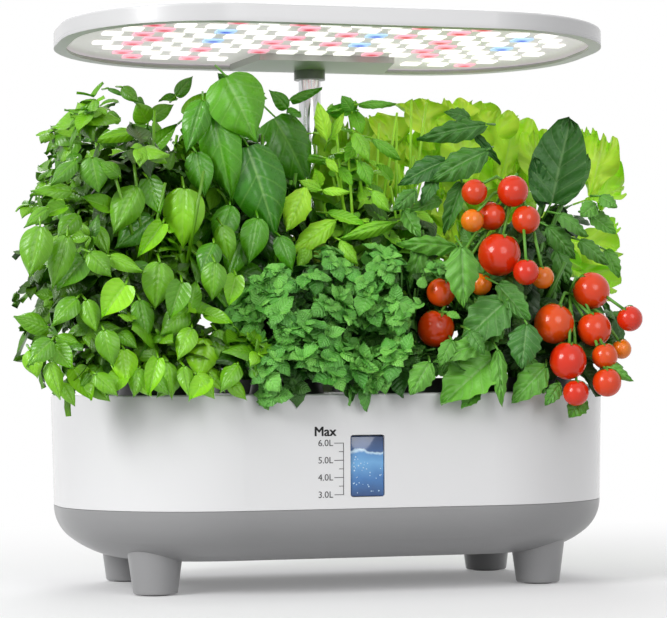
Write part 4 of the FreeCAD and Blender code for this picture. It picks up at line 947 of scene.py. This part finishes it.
def bush(node, pod, blobs, stem, blades, size, paint, slot, shown=(), shown_blades=(), spread=0.008,
         **habit):
    """One pod's plant: stems and a crown in each blob (centre, radii, shoots), then its shown leaves."""
    plant = new_plant()
    for centre, radii, count in blobs:
        stems(plant, pod, centre, radii, *stem)
        crown(plant, blades, centre, radii, count, size, **habit)
    for leaves in shown:
        shown_leaves(plant, shown_blades, leaves, spread)
    end_plant(node + "_leaves", plant, paint, node)


# Sweet basil
# Three pods at the left: smooth cupped leaves on many shoots, spilling over the rim.
basil_green = leaf_paint("basil_leaf", (0.020, 0.165, 0.006), (0.30, 0.70, 0.015), (0.42, 0.74, 0.12),
                         rough=0.30, vein_share=0.30, relief=0.35)
basil_blades = blade_set("smooth", 0.62, 0.03, ((0.5, -0.20), (0.9, -0.14), (0.3, 0.14), (1.2, -0.18)))
basil_shown = blade_set("smooth", 1.0, 0.022, ((0.45, -0.13), (0.7, -0.09), (0.3, 0.10), (0.9, -0.12)), fine=2)
basil = {"stem": (5, 0.0018), "blades": basil_blades, "paint": basil_green, "slot": "basil_leaf",
         "shown_blades": basil_shown}
bush("basil_front_left", pod_at(0, 0),
     [((-0.160, -0.082, 0.200), (0.070, 0.058, 0.060), 58),
      ((-0.148, -0.080, 0.282), (0.074, 0.054, 0.068), 58),
      ((-0.170, -0.120, 0.160), (0.050, 0.022, 0.030), 20),
      ((-0.116, -0.120, 0.158), (0.048, 0.022, 0.026), 26)],
     size=0.026, shown=(BASIL_FRONT, BASIL_HIGH), **basil)
bush("basil_middle_left", pod_at(0, 1),
     [((-0.174, -0.008, 0.225), (0.056, 0.034, 0.072), 40),
      ((-0.148, -0.004, 0.296), (0.062, 0.032, 0.055), 40)],
     size=0.027, **basil)
bush("thai_basil", pod_at(0, 2),
     [((-0.170, 0.085, 0.225), (0.060, 0.050, 0.075), 37),
      ((-0.140, 0.078, 0.295), (0.060, 0.052, 0.052), 37)],
     size=0.024, shown=(THAI_HIGH,), **basil)


# Broad-leaved basil
# Two pods behind the middle with long glossy leaves that stand above the rest.
broad_green = leaf_paint("broad_leaf", (0.012, 0.155, 0.006), (0.22, 0.68, 0.015), (0.32, 0.70, 0.12),
                         rough=0.28, count=5.0, relief=0.5, vein_share=0.55)
broad_shown = blade_set("smooth", 1.0, 0.035, ((0.5, -0.10), (0.65, -0.08), (0.4, -0.12)), fine=2)
broad = {"stem": (7, 0.0022), "blades": basil_blades, "size": 0.034, "paint": broad_green,
         "slot": "basil_leaf", "shown_blades": broad_shown, "spread": 0.006, "tones": (0.05, 0.4),
         "inside": 0.7}
bush("broad_basil_front", pod_at(1, 1), [((-0.050, -0.004, 0.262), (0.050, 0.034, 0.100), 46)],
     shown=(BROAD_LEAVES,), **broad)
bush("broad_basil_rear", pod_at(1, 2), [((-0.050, 0.080, 0.262), (0.048, 0.050, 0.080), 50)],
     shown=(BROAD_REAR,), **broad)


# Lemon balm
# Two low mounds at the front: small, wrinkled, toothed leaves packed close.
balm_green = leaf_paint("balm_leaf", (0.045, 0.27, 0.028), (0.27, 0.72, 0.12), (0.48, 0.80, 0.32),
                        rough=0.42, count=6.0, relief=0.9, vein_share=0.25, crinkle=0.9)
balm = {"stem": (4, 0.0013),
        "blades": blade_set("toothed", 0.80, 0.06, ((0.5, -0.16), (0.8, -0.10), (0.25, 0.12))),
        "size": 0.0165, "paint": balm_green, "slot": "balm_leaf", "tones": (0.15, 0.75),
        "shell": (0.82, 1.0), "inside": 0.35}
bush("lemon_balm_left", pod_at(1, 0),
     [((-0.048, -0.086, 0.180), (0.046, 0.052, 0.046), 125),
      ((-0.022, -0.072, 0.208), (0.040, 0.040, 0.030), 70),
      ((-0.046, -0.122, 0.152), (0.050, 0.020, 0.024), 55)], **balm)
bush("lemon_balm_right", pod_at(2, 0),
     [((0.046, -0.086, 0.184), (0.048, 0.052, 0.050), 125),
      ((0.018, -0.078, 0.205), (0.042, 0.042, 0.032), 70),
      ((0.040, -0.122, 0.152), (0.052, 0.020, 0.024), 55)], **balm)


# Peppermint
# One pod in the middle: upright stems with opposite pairs of toothed leaves.
mint_green = leaf_paint("mint_leaf", (0.070, 0.36, 0.015), (0.50, 1.0, 0.05), (0.56, 0.95, 0.20),
                        rough=0.36, count=8.0, relief=0.6, vein_share=0.4)
mint_blades = blade_set("lance", 0.46, 0.05, ((0.5, -0.14), (0.9, -0.10), (0.3, 0.16)))
mint_shown = blade_set("lance", 1.0, 0.03, ((0.5, -0.10), (0.7, -0.08), (0.4, 0.08)), fine=2)


def sprig(plant, root, tip, blades, pairs, size, tones):
    """An upright stem with crossed pairs of leaves that shrink towards its tip."""
    root, tip = Vector(root), Vector(tip)
    middle = root.lerp(tip, 0.55) + Vector((random.uniform(-0.01, 0.01), random.uniform(-0.01, 0.01), 0))
    stalk(plant, [root, middle, tip], 0.0016, tone=0.9, light=0.9)
    turn = random.uniform(0, math.pi)
    upright = (tip - root).normalized() + Vector((0, -0.3, 0.6))
    for k in range(pairs):
        share = 0.25 + 0.75 * (k + 1) / pairs
        point = root.lerp(middle, share / 0.5) if share < 0.5 else middle.lerp(tip, (share - 0.5) / 0.5)
        grow = size * (1.15 - 0.55 * share) * random.uniform(0.85, 1.15)
        for side in (0, math.pi):
            around = turn + k * math.pi / 2 + side
            outward = Vector((math.cos(around), math.sin(around), 0.25 + 0.5 * share))
            reach = point + outward.normalized() * grow
            if allowed(reach) and not hides(reach):
                place = Matrix.Translation(point) @ leaf_turn(outward, upright) @ Matrix.Scale(grow, 4)
                # painted shade: leaves low on the stem are darker, those near the tip lighter
                add_leaf(plant, random.choice(blades), place, random.uniform(*tones), 0.35 + 0.65 * share)


mint = new_plant()
MINT_STEMS, MINT_PAIRS = 20, 9
for k in range(MINT_STEMS):
    foot = Vector((POD_X[2] + random.uniform(-0.014, 0.014), POD_Y[1] + random.uniform(-0.012, 0.012), POD_Z))
    head = Vector((random.uniform(0.000, 0.092), random.uniform(-0.030, 0.028), random.uniform(0.275, 0.350)))
    sprig(mint, foot, head, mint_blades, MINT_PAIRS, 0.034, (0.1, 0.7))
crown(mint, mint_blades, (0.046, -0.004, 0.250), (0.044, 0.030, 0.090), 52, 0.030, (0.1, 0.6))
shown_leaves(mint, mint_shown, MINT_LEAVES, 0.006)
end_plant("peppermint_leaves", mint, mint_green, "peppermint")


# Lettuce
# Two pods at the back right: frilled yellow-green leaves that rise and open outward.
lettuce_green = leaf_paint("lettuce_leaf", (0.33, 0.82, 0.020), (0.72, 1.0, 0.09), (0.80, 1.0, 0.32),
                           rough=0.40, count=5.0, relief=0.5, vein_share=0.35)
LAMP_CLEAR, TIP_SQUASH = 0.346, 0.5     # tips bend below the lamp at its lowest
frills = blade_set("frill", 0.95, 0.02, ((0.4, 0.08), (0.8, 0.08), (0.25, 0.08), (1.0, 0.08)))
frills_shown = blade_set("frill", 1.0, 0.02, ((0.35, 0.04), (0.55, 0.04), (0.25, 0.04)), seed=7)


def lettuce_head(node, pod, centre, spread, count, size, shown):
    """Leaves in a spiral, upright at the heart and lower and more open outward."""
    plant = new_plant()
    pod = Vector(pod)
    for k in range(count):
        around = k * 2.4 + random.uniform(-0.2, 0.2)
        lean = 0.2 + 0.8 * (k / count)
        ring = Vector((math.cos(around), math.sin(around), 0))
        foot = Vector(centre) + Vector((ring.x * spread[0] * lean * 0.5, ring.y * spread[1] * lean * 0.5,
                                        spread[2] * (0.35 - 0.9 * (k / count))))
        outward = (ring * lean + Vector((0, 0, 1.15 - 0.6 * lean))).normalized()
        grow = size * random.uniform(0.8, 1.1)
        reach = [foot + outward * grow * share for share in (0.5, 0.95)]
        if not all(allowed(point, 0.008) for point in reach) or hides(reach[1]):
            continue
        stalk(plant, [pod, pod.lerp(foot, 0.6) + Vector((0, 0, 0.01)), foot], 0.003, tone=0.9)
        place = Matrix.Translation(foot) @ leaf_turn(outward, Vector((0, 0, 0.5)) - ring)
        # painted shade: leaves at the heart are darker, open outer ones lighter
        add_leaf(plant, random.choice(frills), place @ Matrix.Scale(grow, 4), random.uniform(0.3, 0.9),
                 0.5 + 0.5 * lean)
    shown_leaves(plant, frills_shown, shown)
    for vertex in plant[0].verts:
        if vertex.co.z > LAMP_CLEAR:
            vertex.co.z = LAMP_CLEAR + (vertex.co.z - LAMP_CLEAR) * TIP_SQUASH
    end_plant(node + "_leaves", plant, lettuce_green, node)


lettuce_head("lettuce_left", pod_at(2, 2), (0.050, 0.090, 0.262), (0.050, 0.055, 0.090), 44, 0.062,
             LETTUCE_LEFT)
lettuce_head("lettuce_right", pod_at(3, 2), (0.150, 0.090, 0.235), (0.055, 0.055, 0.090), 46, 0.058,
             LETTUCE_RIGHT)


# Tomato plants
# Two pods at the right: dark, lobed, crinkled leaflets on stalks, and dark smooth spinach behind.
tomato_green = leaf_paint("tomato_leaf", (0.012, 0.110, 0.012), (0.20, 0.56, 0.06), (0.34, 0.58, 0.22),
                          rough=0.42, count=6.0, relief=0.8, vein_share=0.45, crinkle=0.4)
lobed = blade_set("lobed", 0.66, 0.09, ((0.6, -0.12), (0.9, -0.08), (0.35, 0.14)))
lobed_shown = blade_set("lobed", 1.0, 0.065, ((0.5, -0.10), (0.7, -0.06), (0.35, 0.06)), fine=2)
spinach = blade_set("round", 1.0, 0.085, ((0.3, 0.06), (0.5, -0.05)), fine=2)

front_tomato = new_plant()
crown_at, crown_size = (0.142, -0.070, 0.214), (0.062, 0.046, 0.074)
stems(front_tomato, pod_at(3, 0), crown_at, crown_size, 7, 0.0026)
crown(front_tomato, lobed, crown_at, crown_size, 60, 0.036, (0.05, 0.5))
crown(front_tomato, lobed, (0.120, -0.112, 0.160), (0.066, 0.024, 0.030), 18, 0.030, (0.2, 0.6))
shown_leaves(front_tomato, lobed_shown, TOMATO_FRONT, 0.006)

rear_tomato = new_plant()
crown_at, crown_size = (0.163, -0.004, 0.254), (0.060, 0.034, 0.080)
stems(rear_tomato, pod_at(3, 1), crown_at, crown_size, 7, 0.0026)
crown(rear_tomato, lobed, crown_at, crown_size, 66, 0.034, (0.1, 0.5))
shown_leaves(rear_tomato, spinach, SPINACH_LEAVES, 0.004)
shown_leaves(front_tomato, lobed_shown, TOMATO_HIGH, 0.006)
end_plant("tomato_rear_leaves", rear_tomato, tomato_green, "tomato_rear")


# Tomato fruits
# Ripe red, a few still orange, with a paler shoulder; the vine and sepals belong to the front plant.

RED, ORANGE, SHOULDER = (0.78, 0.028, 0.003), (0.95, 0.26, 0.008), (0.95, 0.28, 0.02)


def tomato_paint():
    material, tree, skin = new_paint("tomato_skin")
    ripe, towards_stem = tint_of(tree)
    shoulder = span(tree, towards_stem, 0.0, 0.45, 0.72, 1.0)
    wire(skin, Base_Color=two_tone(tree, shoulder, two_tone(tree, ripe, RED, ORANGE), SHOULDER),
         Roughness=span(tree, noise_in(tree, 60.0, 2.0), 0.14, 0.22),
         Subsurface_Weight=0.2, Subsurface_Radius=(0.008, 0.002, 0.001))
    return material


fruit_mesh = bmesh.new()
fruit_tint = fruit_mesh.verts.layers.float_color.new("tint")
sepal = blade("lance", 0.26, 1.2, 0.1, 0.0, 3)
TRUSS_HIGH, TRUSS_LOW, LOW_TRUSS_TOP = Vector((0.114, -0.092, 0.280)), Vector((0.150, -0.100, 0.205)), 0.209
RIPENESS, ORANGE_UNDER, SEPALS, SEPAL_TURN = (0.0, 0.04, 0.12, 0.25), 0.0085, 5, 1.2566
for middle, radius in FRUITS:
    truss = TRUSS_LOW if middle.z < LOW_TRUSS_TOP and middle.x > 0.1 else TRUSS_HIGH
    stem_way = ((truss - middle).normalized() + Vector((0, -0.35, 0.8))).normalized()
    ripeness = random.uniform(0.7, 1.0) if radius < ORANGE_UNDER else random.choice(RIPENESS)
    made = bmesh.ops.create_uvsphere(fruit_mesh, u_segments=28, v_segments=18, radius=radius,
                                     matrix=Matrix.Translation(middle))
    for vertex in made["verts"]:
        ray = (vertex.co - middle).normalized()
        along = ray.dot(stem_way)
        dent = 0.12 * max(0, along - 0.86) / 0.14
        vertex.co = middle + ray * radius * (1 - dent) * (0.985 + 0.015 * abs(along))
        vertex[fruit_tint] = (ripeness, max(0, along), 0, 1)
    top = middle + stem_way * radius * 0.9
    side = stem_way.orthogonal().normalized()
    for k in range(SEPALS):
        outward = Matrix.Rotation(k * SEPAL_TURN, 3, stem_way) @ side + stem_way * 0.3
        place = Matrix.Translation(top) @ leaf_turn(outward, stem_way) @ Matrix.Scale(radius * 0.85, 4)
        add_leaf(front_tomato, sepal, place, 0.7, 0.9)
    elbow = top.lerp(truss, 0.4) + Vector((0, -0.003, 0.006))
    stalk(front_tomato, [truss, elbow, top], 0.0012, tip=0.9, light=0.9)
end_plant("tomato_front_leaves", front_tomato, tomato_green, "tomato_front")
fruit_piece = object_from("tomato_fruit", fruit_mesh)
fruit_piece.data.materials.append(tomato_paint())
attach(fruit_piece, "deck")
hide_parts("tomatoes")
